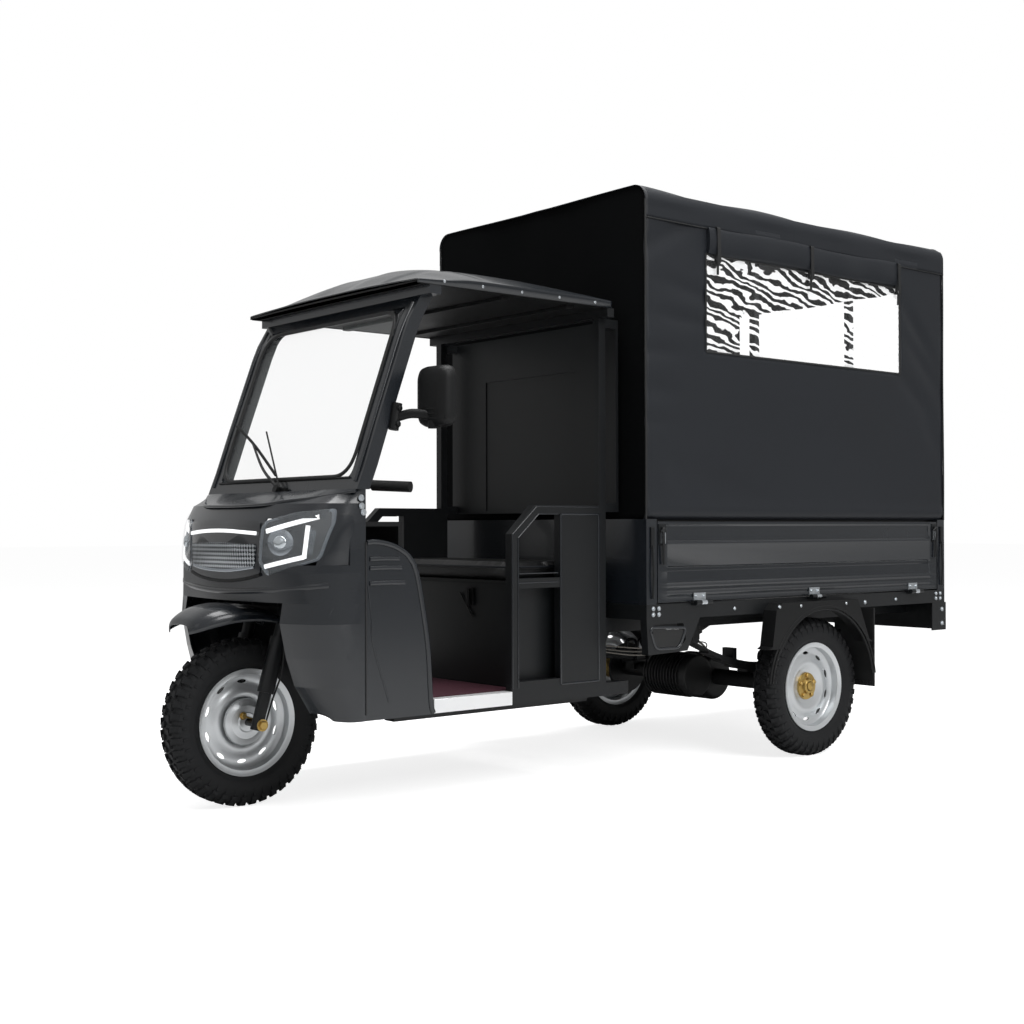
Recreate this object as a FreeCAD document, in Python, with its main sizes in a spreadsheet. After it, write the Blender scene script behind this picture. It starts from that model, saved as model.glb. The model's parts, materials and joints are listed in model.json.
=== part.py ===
import FreeCAD, Part
import Sketcher
import math
import os
from FreeCAD import Vector

# Electric cargo tricycle: one steered front wheel, a driven rear axle, an open cab
# and a drop-side bed under a canvas canopy.
# +X forward, +Y left, +Z up. The rear wheels, rails, bed and canopy are measured from the
# point on the ground under the rear axle; the front wheel, steering and cab from the point
# under the front axle. Every sub-part is then moved along X so that the whole vehicle is
# centred on the origin.

doc = FreeCAD.newDocument("cargo_tricycle")
sheet = doc.addObject("Spreadsheet::Sheet", "dims")

SIZES = [
    # wheels
    ("wheelbase", 2106), ("tyre_radius", 260), ("tyre_width", 108), ("tread_width", 84),
    ("shoulder_drop", 34), ("tread_edge", 8), ("tread_round", 12), ("bead_radius", 152.4),
    ("rim_flange_radius", 166), ("rim_width", 76), ("rim_wall", 5), ("disc_wall", 5),
    ("disc_offset", 4), ("hub_radius", 52), ("front_hub_half", 68), ("rear_hub_in", 85),
    ("rear_hub_out", 24), ("rear_half_track", 530), ("rear_stub_radius", 18),
    ("front_axle_radius", 10), ("shaft_clearance", 0.3),
    # chassis: the cab end of the rails is measured from the front axle
    ("rail_offset", 365), ("rail_width", 50), ("rail_depth", 50), ("rail_top", 548),
    ("rail_rear", 867), ("kick_rear", 892), ("kick_front", -1106), ("rail_slope", 22),
    ("cab_rail_top", 320), ("cab_rail_front", -306), ("cross_width", 40),
    # steering
    ("steer_base_x", -44), ("rake", 16), ("stem_radius", 16), ("head_wall", 12),
    ("head_low", 660), ("head_high", 850), ("neck_foot_rear", -466), ("neck_foot_front", -376),
    ("neck_half_width", 25), ("neck_inset", 20), ("fork_half_width", 100),
    ("fork_leg_radius", 19), ("fork_sleeve", 7), ("crown_z", 585), ("crown_height", 24),
    ("crown_overhang", 35), ("bar_z", 958), ("bar_radius", 11), ("bar_clamp", 60),
    ("bar_rise", 14), ("bar_half_width", 350), ("bar_sweep", 140), ("grip_radius", 17),
    ("grip_length", 125), ("grip_end", 6), ("fender_wall", 5), ("fender_arc_radius", 149),
    ("fender_arc_x", 75), ("fender_arc_z", 480), ("fender_half_width", 120),
    ("fender_brim", 62), ("fender_strap", 60), ("fender_strap_wall", 6),
    # cab
    ("cab_half_width", 457), ("floor_top", 335), ("floor_wall", 15), ("mat_wall", 4),
    ("mat_rear", -771), ("mat_edge", 5), ("neck_cutout", 15), ("sill_low", 292),
    ("sill_width", 40), ("sill_rear", -1240), ("sill_front", -407), ("shield_wall", 15),
    ("shield_front", -158), ("panel_wall", 14), ("panel_x", -300), ("shelf_z", 880),
    ("slot_gap", 1), ("neck_slot_height", 380), ("stem_well_back", 40),
    ("stem_well_length", 90), ("stem_well_half", 48), ("pod_length", 36), ("pod_width", 180),
    ("pod_height", 70), ("pod_gap", 2), ("cowl_wall", 7), ("cowl_top", 976),
    ("arch_half_width", 300), ("arch_top", 640), ("arch_rear", 20), ("nose_x", 80),
    ("lamp_split", 224), ("lamp_low", 752), ("lamp_high", 890), ("lamp_depth", 36),
    ("lamp_gap", 4), ("grille_low", 735), ("grille_high", 866), ("post_x", -1105),
    ("post_width", 30), ("roof_low", 1600), ("roof_overhang", 43), ("roof_rear", -1121),
    ("roof_front", -316), ("roof_wall", 7), ("roof_crown", 92), ("back_wall_x", -1184),
    ("back_wall_low", 914), ("back_wall", 12), ("back_press", 4), ("back_press_low", 925),
    ("back_press_half", 250), ("back_press_height", 487), ("high_tie_drop", 60),
    ("guard_top", 935), ("guard_front", -718), ("guard_tube", 30), ("guard_panel", -928),
    ("guard_corner", 94), ("guard_slant", 99), ("guard_rung", 697), ("guard_rung_depth", 32),
    ("screen_wall", 45), ("screen_rim", 58), ("screen_sill", 34), ("screen_head", 36),
    ("screen_round", 28), ("glass_inset", 8), ("glass_wall", 5), ("head_bar", 28),
    # seat
    ("seat_box_rear", -1076), ("seat_box_front", -776), ("seat_box_top", 675),
    ("seat_half_width", 400), ("box_wall", 8), ("seat_board_wall", 12),
    ("cushion_height", 62), ("seat_front", -764), ("seat_rear", -1091), ("fit_gap", 0.3),
    ("battery_length", 150), ("battery_width", 560), ("battery_height", 230),
    # bed
    ("bed_half_width", 574), ("bed_front", 894), ("bed_rear", 862), ("bed_top", 600),
    ("deck_wall", 12), ("bed_rail_width", 40), ("joist_first", -590), ("joist_pitch", 290),
    ("bed_floor_wall", 3), ("bed_floor_gap", 6), ("board_wall", 22), ("board_low", 605),
    ("board_high", 881), ("post_size", 50), ("post_high", 889.7), ("post_gap", 5),
    ("hinge_out", 20), ("hinge_rise", 1), ("hinge_pin_radius", 5), ("hinge_barrel_radius", 9),
    ("hinge_half_length", 40), ("hinge_leaf_wall", 9), ("hinge_leaf_height", 26),
    ("hinge_spacing", 634), ("tail_hinge_spacing", 380), ("front_wall", 20),
    # canopy
    ("canvas_low", 890), ("canvas_high", 2027), ("canvas_wall", 6), ("canvas_round", 55),
    ("window_front", 592), ("window_rear", -560), ("window_low", 1477), ("window_high", 1822),
    ("film_wall", 2), ("rear_door_half", 530), ("rear_door_top", 1862), ("roll_half_depth", 13),
    ("roll_half_height", 37), ("roll_seat", 2), ("bow_tube", 25), ("bow_inset", 14.7),
    ("bow_rail_gap", 6),
    # rear
    ("axle_tube_radius", 32), ("axle_tube_end", 425), ("stub_reach", 18), ("diff_radius", 93),
    ("diff_half_width", 85), ("diff_round", 20), ("motor_radius", 82), ("motor_length", 210),
    ("motor_x", 150), ("motor_rise", 16), ("motor_round", 8), ("gear_low", 40),
    ("gear_height", 110), ("spring_seat", 90), ("brake_radius", 105), ("brake_wall", 12),
    ("leaf_wall", 8), ("leaf_count", 5), ("leaf_step", 0.16), ("leaf_half_length", 450),
    ("leaf_radius", 1062), ("leaf_top", 340), ("leaf_eye_radius", 16), ("hanger_width", 36),
    ("eye_rise", 10), ("flare_width", 60), ("flare_top", 586), ("flare_radius", 298),
    ("flap_wall", 6), ("flap_x", -296), ("flap_inset", 2), ("flap_low", 245),
    ("tail_reach", 872), ("tail_board_low", 434), ("tail_board_depth", 98), ("sheet_wall", 5),
    ("tail_lamp_depth", 20), ("tail_lamp_width", 170), ("tail_lamp_height", 62),
    ("tail_lamp_rise", 26), ("tail_lamp_offset", 430), ("step_width", 30),
    # mirror
    ("mirror_x", -346), ("mirror_y", 548), ("mirror_z", 1255), ("mirror_width", 140),
    ("mirror_height", 185), ("mirror_depth", 50), ("mirror_round", 14), ("mirror_turn", 15),
    ("mirror_arm_radius", 9), ("mirror_foot_x", -268), ("mirror_foot_z", 1178),
    ("mirror_foot_length", 46), ("mirror_foot_height", 64), ("mirror_foot_wall", 10),
    ("mirror_arm_out", 58), ("mirror_arm_z", 1205),
]
for row, (alias, value) in enumerate(SIZES, start=1):
    sheet.set("A%d" % row, alias)
    sheet.set("B%d" % row, str(value))
    sheet.setAlias("B%d" % row, alias)
doc.recompute()

# The vehicle's length runs from the tail lamps to the front tyre.
SHIFT = "(dims.tail_reach + dims.tail_lamp_depth - dims.wheelbase - dims.tyre_radius) / 2"
NODES = []
BED_MEMBERS = (-780, -560, 560, 820)
CAB_MEMBERS = (-1006, -706, -416)


def size(alias):
    return float(getattr(sheet, alias))


def bind(item, **expressions):
    for name, expression in expressions.items():
        item.setExpression(name.replace("__", "."), str(expression))
    return item


def box(name, x, y, z, length, width, height):
    item = doc.addObject("Part::Box", name)
    bind(item, Length=length, Width=width, Height=height)
    bind(item, Placement__Base__x=x, Placement__Base__y=y, Placement__Base__z=z)
    return item


def rod(name, axis, x, y, z, radius, length):
    """A cylinder whose base is at x, y, z and which runs along +X, +Y or +Z."""
    turns = {"x": (Vector(0, 1, 0), 90), "y": (Vector(1, 0, 0), -90), "z": (Vector(0, 0, 1), 0)}
    item = doc.addObject("Part::Cylinder", name)
    item.Placement.Rotation = FreeCAD.Rotation(*turns[axis])
    bind(item, Radius=radius, Height=length)
    bind(item, Placement__Base__x=x, Placement__Base__y=y, Placement__Base__z=z)
    return item


def mirrored(source):
    item = doc.addObject("Part::Mirroring", source.Name + "_right")
    item.Source = source
    item.Normal = Vector(0, 1, 0)
    return item


def fused(name, pieces):
    item = doc.addObject("Part::MultiFuse", name)
    item.Shapes = pieces
    return item


def cut(name, base, tool):
    item = doc.addObject("Part::Cut", name)
    item.Base = base
    item.Tool = tool
    return item


def shaped(name, shape):
    item = doc.addObject("Part::Feature", name)
    item.Shape = shape
    return item


def sub_part(label, pieces, front=False):
    """Gathers one sub-part and moves it into the vehicle's frame from its own axle's."""
    item = doc.addObject("Part::Compound", label)
    item.Links = pieces
    item.Label = label
    bind(item, Placement__Base__x=SHIFT + (" + dims.wheelbase" if front else ""))
    NODES.append(item)
    return item


def origin_plane(body, role):
    return next(item for item in body.Origin.OriginFeatures if item.Role == role)


def outline(body, role, name, points):
    """A closed sketch of straight runs; each corner is fixed by two expressions."""
    sketch = body.newObject("Sketcher::SketchObject", name)
    sketch.AttachmentSupport = (origin_plane(body, role), [""])
    sketch.MapMode = "FlatFace"
    values = [[doc_value(sketch, term) for term in point] for point in points]
    count = len(points)
    for index in range(count):
        start = Vector(*values[index], 0)
        end = Vector(*values[(index + 1) % count], 0)
        sketch.addGeometry(Part.LineSegment(start, end))
    for index in range(count):
        sketch.addConstraint(Sketcher.Constraint("Coincident", index, 2, (index + 1) % count, 1))
    for index in range(count):
        for kind, term, value in zip(("DistanceX", "DistanceY"), points[index], values[index]):
            number = sketch.addConstraint(Sketcher.Constraint(kind, -1, 1, index, 1, value))
            sketch.setExpression("Constraints[%d]" % number, str(term))
    return sketch


def doc_value(item, term):
    return float(item.evalExpression(str(term)))


def padded(name, role, points, length, midplane=False, reverse=False):
    """A body padded from an outline drawn on one of its origin planes."""
    body = doc.addObject("PartDesign::Body", name)
    sketch = outline(body, role, name + "_outline", points)
    pad = body.newObject("PartDesign::Pad", name + "_pad")
    pad.Profile = sketch
    bind(pad, Length=length)
    pad.Midplane = midplane
    pad.Reversed = reverse
    return body


def pocket(body, role, name, points):
    """Cuts an outline right through a padded body."""
    sketch = outline(body, role, name + "_outline", points)
    hole = body.newObject("PartDesign::Pocket", name + "_pocket")
    hole.Profile = sketch
    hole.Type = "ThroughAll"
    hole.Midplane = True
    return hole


def revolved(name, points):
    """A body turned about the Y axis from an outline of (along the axle, radius)."""
    body = doc.addObject("PartDesign::Body", name)
    sketch = outline(body, "YZ_Plane", name + "_outline", points)
    turn = body.newObject("PartDesign::Revolution", name + "_turn")
    turn.Profile = sketch
    turn.ReferenceAxis = (sketch, ["H_Axis"])
    turn.Angle = 360
    return body


# ---- wheels

def tyre(name, y):
    half, bead, tread = "dims.tyre_width / 2", "dims.rim_width / 2", "dims.tread_width / 2"
    low, high = "dims.bead_radius", "dims.tyre_radius"
    widest = low + " + (" + high + " - " + low + ") / 2"
    flange, shoulder = "dims.rim_flange_radius + 1", high + " - dims.shoulder_drop"
    right = [(bead, low), (bead, flange), (half, widest), (half, shoulder),
             (tread, high + " - dims.tread_edge"), (tread + " - dims.tread_round", high)]
    left = [("-(" + along + ")", radius) for along, radius in reversed(right)]
    body = revolved(name, right + left)
    bind(body, Placement__Base__y=y, Placement__Base__z="dims.tyre_radius")
    return body


def rim(name, y, bore, hub_in, hub_out, disc):
    """Well, two flanges, a disc and a hub; hub_in and hub_out run along +Y."""
    half = "dims.rim_width / 2"
    seat, well = "dims.bead_radius", "dims.bead_radius - dims.rim_wall"
    lip, edge = "dims.rim_flange_radius", half + " + dims.rim_wall"
    face = disc + " + dims.disc_wall"
    points = [(hub_in, bore), (hub_out, bore), (hub_out, "dims.hub_radius"),
              (face, "dims.hub_radius"), (face, well), (edge, well), (edge, lip), (half, lip),
              (half, seat), ("-(" + half + ")", seat), ("-(" + half + ")", lip),
              ("-(" + edge + ")", lip), ("-(" + edge + ")", well), (disc, well),
              (disc, "dims.hub_radius"), (hub_in, "dims.hub_radius")]
    body = revolved(name, points)
    bind(body, Placement__Base__y=y, Placement__Base__z="dims.tyre_radius")
    return body


def make_wheels():
    near, far, disc = "dims.rear_hub_in", "dims.rear_hub_out", "dims.disc_offset"
    sub_part("front_tyre", [tyre("front_tyre_body", "0")], front=True)
    bore = "dims.front_axle_radius + dims.shaft_clearance"
    hub = "dims.front_hub_half"
    sub_part("front_rim", [rim("front_rim_body", "0", bore, "-" + hub, hub, disc)], front=True)
    bore = "dims.rear_stub_radius + dims.shaft_clearance"
    track = "dims.rear_half_track"
    sub_part("rear_tyre_left", [tyre("tyre_body_left", track)])
    sub_part("rear_tyre_right", [tyre("tyre_body_right", "-" + track)])
    sub_part("rear_rim_left", [rim("rim_body_left", track, bore, "-" + near, far, disc)])
    mirror_disc = "-" + disc + " - dims.disc_wall"
    sub_part("rear_rim_right", [rim("rim_body_right", "-" + track, bore, "-" + far, near,
                                    mirror_disc)])


# ---- chassis

def make_chassis():
    high, depth = "dims.rail_top", "dims.rail_depth"
    low_high = "dims.cab_rail_top"
    kick, front = "dims.wheelbase + dims.kick_front", "dims.wheelbase + dims.cab_rail_front"
    points = [("-dims.rail_rear", high + " - " + depth), ("dims.kick_rear", high + " - " + depth),
              (kick, low_high + " - " + depth), (front, low_high + " - " + depth),
              (front, low_high), (kick + " + dims.rail_slope", low_high),
              ("dims.kick_rear + dims.rail_slope", high), ("-dims.rail_rear", high)]
    rail = padded("rail_body", "XZ_Plane", points, "dims.rail_width")
    bind(rail, Placement__Base__y="dims.rail_offset + dims.rail_width / 2")
    sub_part("chassis_rails", [rail, mirrored(rail)])

    inner = "(dims.rail_offset - dims.rail_width / 2)"
    members = []
    for group, shift, top in ((BED_MEMBERS, "", high), (CAB_MEMBERS, "dims.wheelbase + ", low_high)):
        for x in group:
            members.append(box("member_%d" % len(members), shift + "(%d)" % x, "-" + inner,
                               top + " - " + depth, "dims.cross_width", "2 * " + inner, depth))
    sub_part("chassis_crossmembers", members)


def on_steering_axis(z):
    """The point of the raked steering axis at height z."""
    lean = math.tan(math.radians(size("rake")))
    return Vector(size("steer_base_x") - (z - size("tyre_radius")) * lean, 0, z)


def tube(start, end, radius):
    return Part.makeCylinder(radius, (end - start).Length, start, end - start)


def make_steering_head():
    low, high = on_steering_axis(size("head_low")), on_steering_axis(size("head_high"))
    bore = size("stem_radius") + size("shaft_clearance")
    sleeve = tube(low, high, bore + size("head_wall"))
    foot, half, inset = size("floor_top"), size("neck_half_width"), size("neck_inset")
    corners = [(size("neck_foot_rear"), foot), (size("neck_foot_front"), foot),
               (low.x - size("head_wall"), low.z + inset), (high.x, high.z - inset)]
    wire = Part.makePolygon([Vector(x, -half, z) for x, z in corners + corners[:1]])
    neck = Part.Face(wire).extrude(Vector(0, 2 * half, 0))
    reach = high - low
    shape = sleeve.fuse(neck).cut(tube(low - reach, high + reach, bore)).removeSplitter()
    sub_part("steering_head", [shaped("steering_head_shape", shape)], front=True)


def make_fork():
    """Two legs with thicker sleeves, a crown, the stem above it and the wheel's axle."""
    lean = math.radians(size("rake"))
    along = Vector(-math.sin(lean), 0, math.cos(lean))
    hub = Vector(0, 0, size("tyre_radius"))
    crown = on_steering_axis(size("crown_z"))
    rise = (crown - hub).dot(along)
    half, leg, thick = size("fork_half_width"), size("fork_leg_radius"), size("crown_height")
    sleeve_low, sleeve_high = 0.28 * rise, 0.78 * rise
    pieces = []
    for side in (-1, 1):
        foot = hub + Vector(0, side * half, 0)
        pieces.append(tube(foot - along * leg, foot + along * (rise + thick / 2), leg))
        pieces.append(tube(foot + along * sleeve_low, foot + along * sleeve_high,
                           leg + size("fork_sleeve")))
    edge = size("crown_overhang")
    reach = (hub + along * rise - crown).Length
    plate = Part.makeBox(reach + 2 * edge, 2 * (half + leg), thick)
    plate.translate(Vector(-edge, -(half + leg), -thick / 2))
    plate.rotate(Vector(), Vector(0, 1, 0), -size("rake"))
    plate.translate(crown)
    pieces.append(plate)
    pieces.append(tube(crown, on_steering_axis(size("bar_z")), size("stem_radius")))
    axle = Vector(0, half + leg + size("front_axle_radius"), 0)
    pieces.append(tube(hub - axle, hub + axle, size("front_axle_radius")))
    shape = pieces[0].multiFuse(pieces[1:]).removeSplitter()
    sub_part("front_fork", [shaped("front_fork_shape", shape)], front=True)
    return shape


def bar_line():
    """Corner points of the handlebar's left half, from the stem outwards."""
    top = on_steering_axis(size("bar_z") + size("stem_radius") + size("bar_radius"))
    half, sweep, rise = size("bar_half_width"), size("bar_sweep"), size("bar_rise")
    return [top, top + Vector(0, size("bar_clamp"), 0), top + Vector(-0.3 * sweep, half / 2, rise),
            top + Vector(-sweep, half, 0.3 * rise)]


def make_handlebar():
    radius = size("bar_radius")
    half = []
    line = bar_line()
    for start, end in zip(line, line[1:]):
        half.append(tube(start, end, radius))
        half.append(Part.makeSphere(radius, start))
    left = half[0].multiFuse(half[1:])
    right = left.mirror(Vector(), Vector(0, 1, 0))
    stem = tube(on_steering_axis(size("bar_z")), line[0], size("stem_radius"))
    sub_part("handlebar", [shaped("handlebar_shape", left.multiFuse([right, stem]))], front=True)

    end = line[-1]
    back = (line[-2] - end).normalize()
    start = end + back * size("grip_length")
    bore = radius + size("shaft_clearance")
    grip = tube(start, end - back * size("grip_end"), size("grip_radius"))
    grips = [shaped("grip_shape", grip.cut(tube(start, end, bore)))]
    grips.append(mirrored(grips[0]))
    sub_part("handle_grips", grips, front=True)


def make_front_fender(fork):
    """An arc over the wheel with a strap back to the fork's crown, which it meets flush."""
    radius, wall = size("fender_arc_radius"), size("fender_wall")
    centre = Vector(size("fender_arc_x"), 0, size("fender_arc_z"))
    half = size("fender_half_width")
    start = centre - Vector(0, half, 0)
    ring = Part.makeCylinder(radius, 2 * half, start, Vector(0, 1, 0))
    ring = ring.cut(Part.makeCylinder(radius - wall, 2 * half, start, Vector(0, 1, 0)))
    keep = Part.makeBox(2 * radius, 2 * half, radius,
                        Vector(centre.x - radius, -half, centre.z + size("fender_brim")))
    crown = on_steering_axis(size("crown_z"))
    strap_width, strap_wall = size("fender_strap"), size("fender_strap_wall")
    strap_rear = crown.x + strap_width
    strap = Part.makeBox(centre.x - radius / 2 - strap_rear, strap_width, strap_wall,
                         Vector(strap_rear, -strap_width / 2, crown.z + size("crown_height") / 2))
    shape = ring.common(keep).fuse(strap).cut(fork)
    sub_part("front_fender", [shaped("front_fender_shape", shape)], front=True)


# ---- cab

def make_floor():
    inner = "(dims.cab_half_width - dims.sill_width)"
    low, top = "dims.floor_top - dims.floor_wall", "dims.floor_top"
    rear, front = "(dims.kick_front + dims.rail_slope + dims.slot_gap)", "dims.cab_rail_front"
    floor = box("floor_plate", rear, "-" + inner, low, front + " - " + rear,
                "2 * " + inner, "dims.floor_wall")
    sub_part("cab_floor", [floor], front=True)

    half = "(%s - dims.mat_edge)" % inner
    mat = box("mat_sheet", "dims.mat_rear", "-" + half, top,
              front + " - dims.mat_edge - dims.mat_rear", "2 * " + half, "dims.mat_wall")
    notch_half = "(dims.neck_half_width + dims.neck_cutout)"
    notch_rear = "(dims.neck_foot_rear - dims.neck_cutout)"
    notch = box("mat_notch", notch_rear, "-" + notch_half, low, front + " - " + notch_rear,
                "2 * " + notch_half, "2 * dims.floor_wall")
    sub_part("floor_mat", [cut("mat_cut", mat, notch)], front=True)

    sill = box("sill_bar", "dims.sill_rear", inner, "dims.sill_low",
               "dims.sill_front - dims.sill_rear", "dims.sill_width", top + " - dims.sill_low")
    sub_part("door_sills", [sill, mirrored(sill)], front=True)


def plan_wire(z, half_points, inset, back):
    """A closed plan outline: a curve round the nose and a straight line behind it."""
    points = [Vector(x, y, z) for x, y in half_points]
    points += [Vector(x, -y, z) for x, y in reversed(half_points[:-1])]
    if inset:
        middle = Vector(size("shield_front"), 0, z)
        points = [point + (middle - point).normalize() * inset for point in points]
    curve = Part.BSplineCurve()
    curve.interpolate(points)
    ends = [points[-1], points[0]]
    if back < points[0].x - 1:
        ends[1:1] = [Vector(back, points[-1].y, z), Vector(back, points[0].y, z)]
    edges = [curve.toShape()]
    edges += [Part.LineSegment(a, b).toShape() for a, b in zip(ends, ends[1:])]
    return Part.Wire(edges)


def cowl_sections():
    """Plan outline of the nose at each height: z, corner x and y, front x and y, centre x."""
    half, split = size("cab_half_width"), size("lamp_split")
    nose, top, rear = size("nose_x"), size("cowl_top"), size("shield_front")
    return [
        (size("sill_low"), nose - 186, half - 7, nose - 161, 380, nose - 146),
        (392, nose - 141, half - 22, nose - 96, 330, nose - 66),
        (477, nose - 121, half - 27, nose - 66, 320, nose - 36),
        (580, nose - 101, half - 32, nose - 42, 310, nose - 12),
        (size("arch_top"), nose - 101, half - 37, nose - 36, split, nose - 16),
        (729, nose - 103, half - 42, nose - 26, split, nose - 10),
        (800, nose - 115, half - 32, nose - 24, split, nose),
        (877, nose - 135, half - 22, nose - 28, split, nose - 8),
        (934, nose - 155, half - 27, nose - 66, split, nose - 46),
        (top, rear + 32, half - 22, rear + 52, split, rear + 62),
    ]


def cowl_solid(inset, back):
    """The nose as a solid, or with an inset the hollow inside it, open below and behind."""
    rear, half = size("shield_front"), size("cab_half_width")
    wires = []
    sections = cowl_sections()
    for number, (z, corner_x, corner_y, front_x, front_y, nose) in enumerate(sections):
        if inset and number == 0:
            z = z - inset
        if inset and number == len(sections) - 1:
            z = z - inset
        points = [(rear, half), (corner_x, corner_y), (front_x, front_y), (nose, 0)]
        wires.append(plan_wire(z, points, inset, back))
    return Part.makeLoft(wires, True, True)


def lamp_region(low, high, inner, outer):
    """The block of space in front of the cab that holds one lamp."""
    start = size("shield_front") + 1.5 * size("lamp_depth")
    reach = size("nose_x") + size("lamp_depth") - start
    return Part.makeBox(reach, outer - inner, high - low, Vector(start, inner, low))


def make_nose():
    rear, half = size("shield_front"), size("cab_half_width")
    gap, depth = size("lamp_gap"), size("lamp_depth")
    inner = size("lamp_split") + gap
    outside = cowl_solid(0, rear)
    shell = outside.cut(cowl_solid(size("cowl_wall"), rear - half))
    arch_half, arch_low = size("arch_half_width"), size("sill_low") - 2 * depth
    arch = Part.makeBox(half, 2 * arch_half, size("arch_top") - arch_low,
                        Vector(rear + size("arch_rear"), -arch_half, arch_low))
    shell = shell.cut(arch)
    deep = outside.cut(cowl_solid(depth, rear - half))
    low, high = size("lamp_low"), size("lamp_high")
    regions = [lamp_region(low, high, inner, half), lamp_region(low, high, -half, -inner)]
    lamps = [deep.common(region) for region in regions]
    grille_half = inner - 3 * gap
    middle = lamp_region(size("grille_low"), size("grille_high"), -grille_half, grille_half)
    grille = deep.common(middle)
    for region in regions + [middle]:
        shell = shell.cut(region)
    sub_part("front_cowl", [shaped("front_cowl_shape", shell)], front=True)
    lamps = [shaped("headlamp_shape_%d" % number, lamp) for number, lamp in enumerate(lamps)]
    sub_part("headlamps", lamps, front=True)
    sub_part("grille_lamp", [shaped("grille_lamp_shape", grille)], front=True)


def make_leg_room():
    front = "dims.shield_front"
    points = [(front, "dims.sill_low"), (front, "818"), ("-197", "820"), ("-250", "810"),
              ("-293", "791"), ("-320", "768"), ("-342", "728"), ("-363", "634"),
              ("-385", "499"), ("-396", "dims.floor_top"), ("dims.sill_front", "dims.sill_low")]
    shield = padded("shield_body", "XZ_Plane", points, "dims.shield_wall")
    bind(shield, Placement__Base__y="dims.cab_half_width")
    sub_part("leg_shields", [shield, mirrored(shield)], front=True)

    inner = "(dims.cab_half_width - dims.shield_wall)"
    wall, shelf, x, gap = "dims.panel_wall", "dims.shelf_z", "dims.panel_x", "dims.slot_gap"
    floor = "(dims.floor_top + dims.mat_wall)"
    points = [(x, floor), (x + " + " + wall, floor),
              (x + " + " + wall, shelf + " - " + wall), (front + " - " + gap, shelf + " - " + wall),
              (front + " - " + gap, shelf), (x, shelf)]
    panel = padded("panel_body", "XZ_Plane", points, "2 * " + inner, midplane=True)
    slot_half = "(dims.neck_half_width + %s)" % gap
    slot = box("neck_slot", x + " - " + gap, "-" + slot_half, floor + " - " + gap,
               wall + " + 2 * " + gap, "2 * " + slot_half, "dims.neck_slot_height")
    well = box("stem_well", x + " + dims.stem_well_back", "-dims.stem_well_half",
               shelf + " - 2 * " + wall, "dims.stem_well_length", "2 * dims.stem_well_half",
               "3 * " + wall)
    panel = cut("panel_cut", cut("panel_slotted", panel, slot), well)
    pod = box("gauge_pod", front + " - dims.pod_gap - dims.pod_length", "-dims.pod_width / 2",
              shelf, "dims.pod_length", "dims.pod_width", "dims.pod_height")
    sub_part("dashboard", [fused("panel_and_pod", [panel, pod])], front=True)


def screen_line(offset):
    """Side view of the windscreen, from its base to the roof, moved back by offset."""
    line = [(-127, size("cowl_top")), (-156, 1050), (-208, 1200), (-262, 1350), (-298, 1450),
            (-319, 1500), (-361, size("roof_low") - size("head_bar"))]
    return [Vector(x - offset, 0, z) for x, z in line]


def screen_band(near, far, low, high, half):
    """The windscreen's curve between two depths and two heights, as wide as 2 * half."""
    front, back = screen_line(near), screen_line(far)
    wire = Part.makePolygon(front + back[::-1] + front[:1])
    band = Part.Face(wire).extrude(Vector(0, 2 * half, 0))
    band.translate(Vector(0, -half, 0))
    span = band.BoundBox
    keep = Part.makeBox(span.XLength, 2 * half, high - low, Vector(span.XMin, -half, low))
    return band.common(keep)


def make_screen():
    half, wall, glass_inset = size("cab_half_width"), size("screen_wall"), size("glass_inset")
    foot, head = size("cowl_top"), size("roof_low") - size("head_bar")
    inner = half - size("screen_rim")
    low, high = foot + size("screen_sill"), head - size("screen_head")
    frame = screen_band(0, wall, foot, head, half)
    hole = screen_band(-wall, 2 * wall, low, high, inner)
    upright = [edge for edge in hole.Edges if abs(edge.tangentAt(edge.FirstParameter).x) > 0.95]
    hole = hole.makeFillet(size("screen_round"), upright)
    roof_half = half + size("roof_overhang")
    rear = screen_line(wall)[-1].x
    bar = Part.makeBox(wall, 2 * roof_half, size("head_bar"), Vector(rear, -roof_half, head))
    frame = frame.cut(hole).fuse(bar)
    sub_part("windshield_frame", [shaped("windshield_frame_shape", frame)], front=True)
    glass = screen_band(glass_inset, glass_inset + size("glass_wall"), low, high, inner)
    glass = glass.common(hole)
    sub_part("windshield_glass", [shaped("windshield_glass_shape", glass)], front=True)


def roof_wire(x, half, low, edge, crown):
    """A closed section across the roof: flat below, two edges and a crowned top."""
    curve = Part.BSplineCurve()
    share = 0.72
    top = [(-half, low + edge), (-share * half, low + edge + share * crown),
           (0, low + edge + crown), (share * half, low + edge + share * crown), (half, low + edge)]
    curve.interpolate([Vector(x, y, z) for y, z in top])
    corners = [Vector(x, half, low + edge), Vector(x, half, low), Vector(x, -half, low),
               Vector(x, -half, low + edge)]
    edges = [curve.toShape()]
    edges += [Part.LineSegment(a, b).toShape() for a, b in zip(corners, corners[1:])]
    return Part.Wire(edges)


def roof_solid(inset):
    """The roof as a solid, or with an inset the hollow under it. Each station: x, edge, crown."""
    low, crown = size("roof_low"), size("roof_crown")
    half = size("cab_half_width") + size("roof_overhang") - inset
    rear, front = size("roof_rear") + inset, size("roof_front") - inset
    stations = [(rear, 20, 0.72), (rear + 100, 24, 0.8), (rear + 300, 24, 1.0),
                (front - 230, 24, 0.95), (front - 110, 14, 0.7), (front, 8, 0.1)]
    wires = []
    for x, edge, share in stations:
        height = max(edge - inset, 1)
        base = low - 1 if inset else low
        wires.append(roof_wire(x, half, base, height, crown * share))
    return Part.makeLoft(wires, True, True)


def make_roof():
    shell = roof_solid(0).cut(roof_solid(size("roof_wall")))
    sub_part("cab_roof", [shaped("cab_roof_shape", shell)], front=True)


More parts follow.
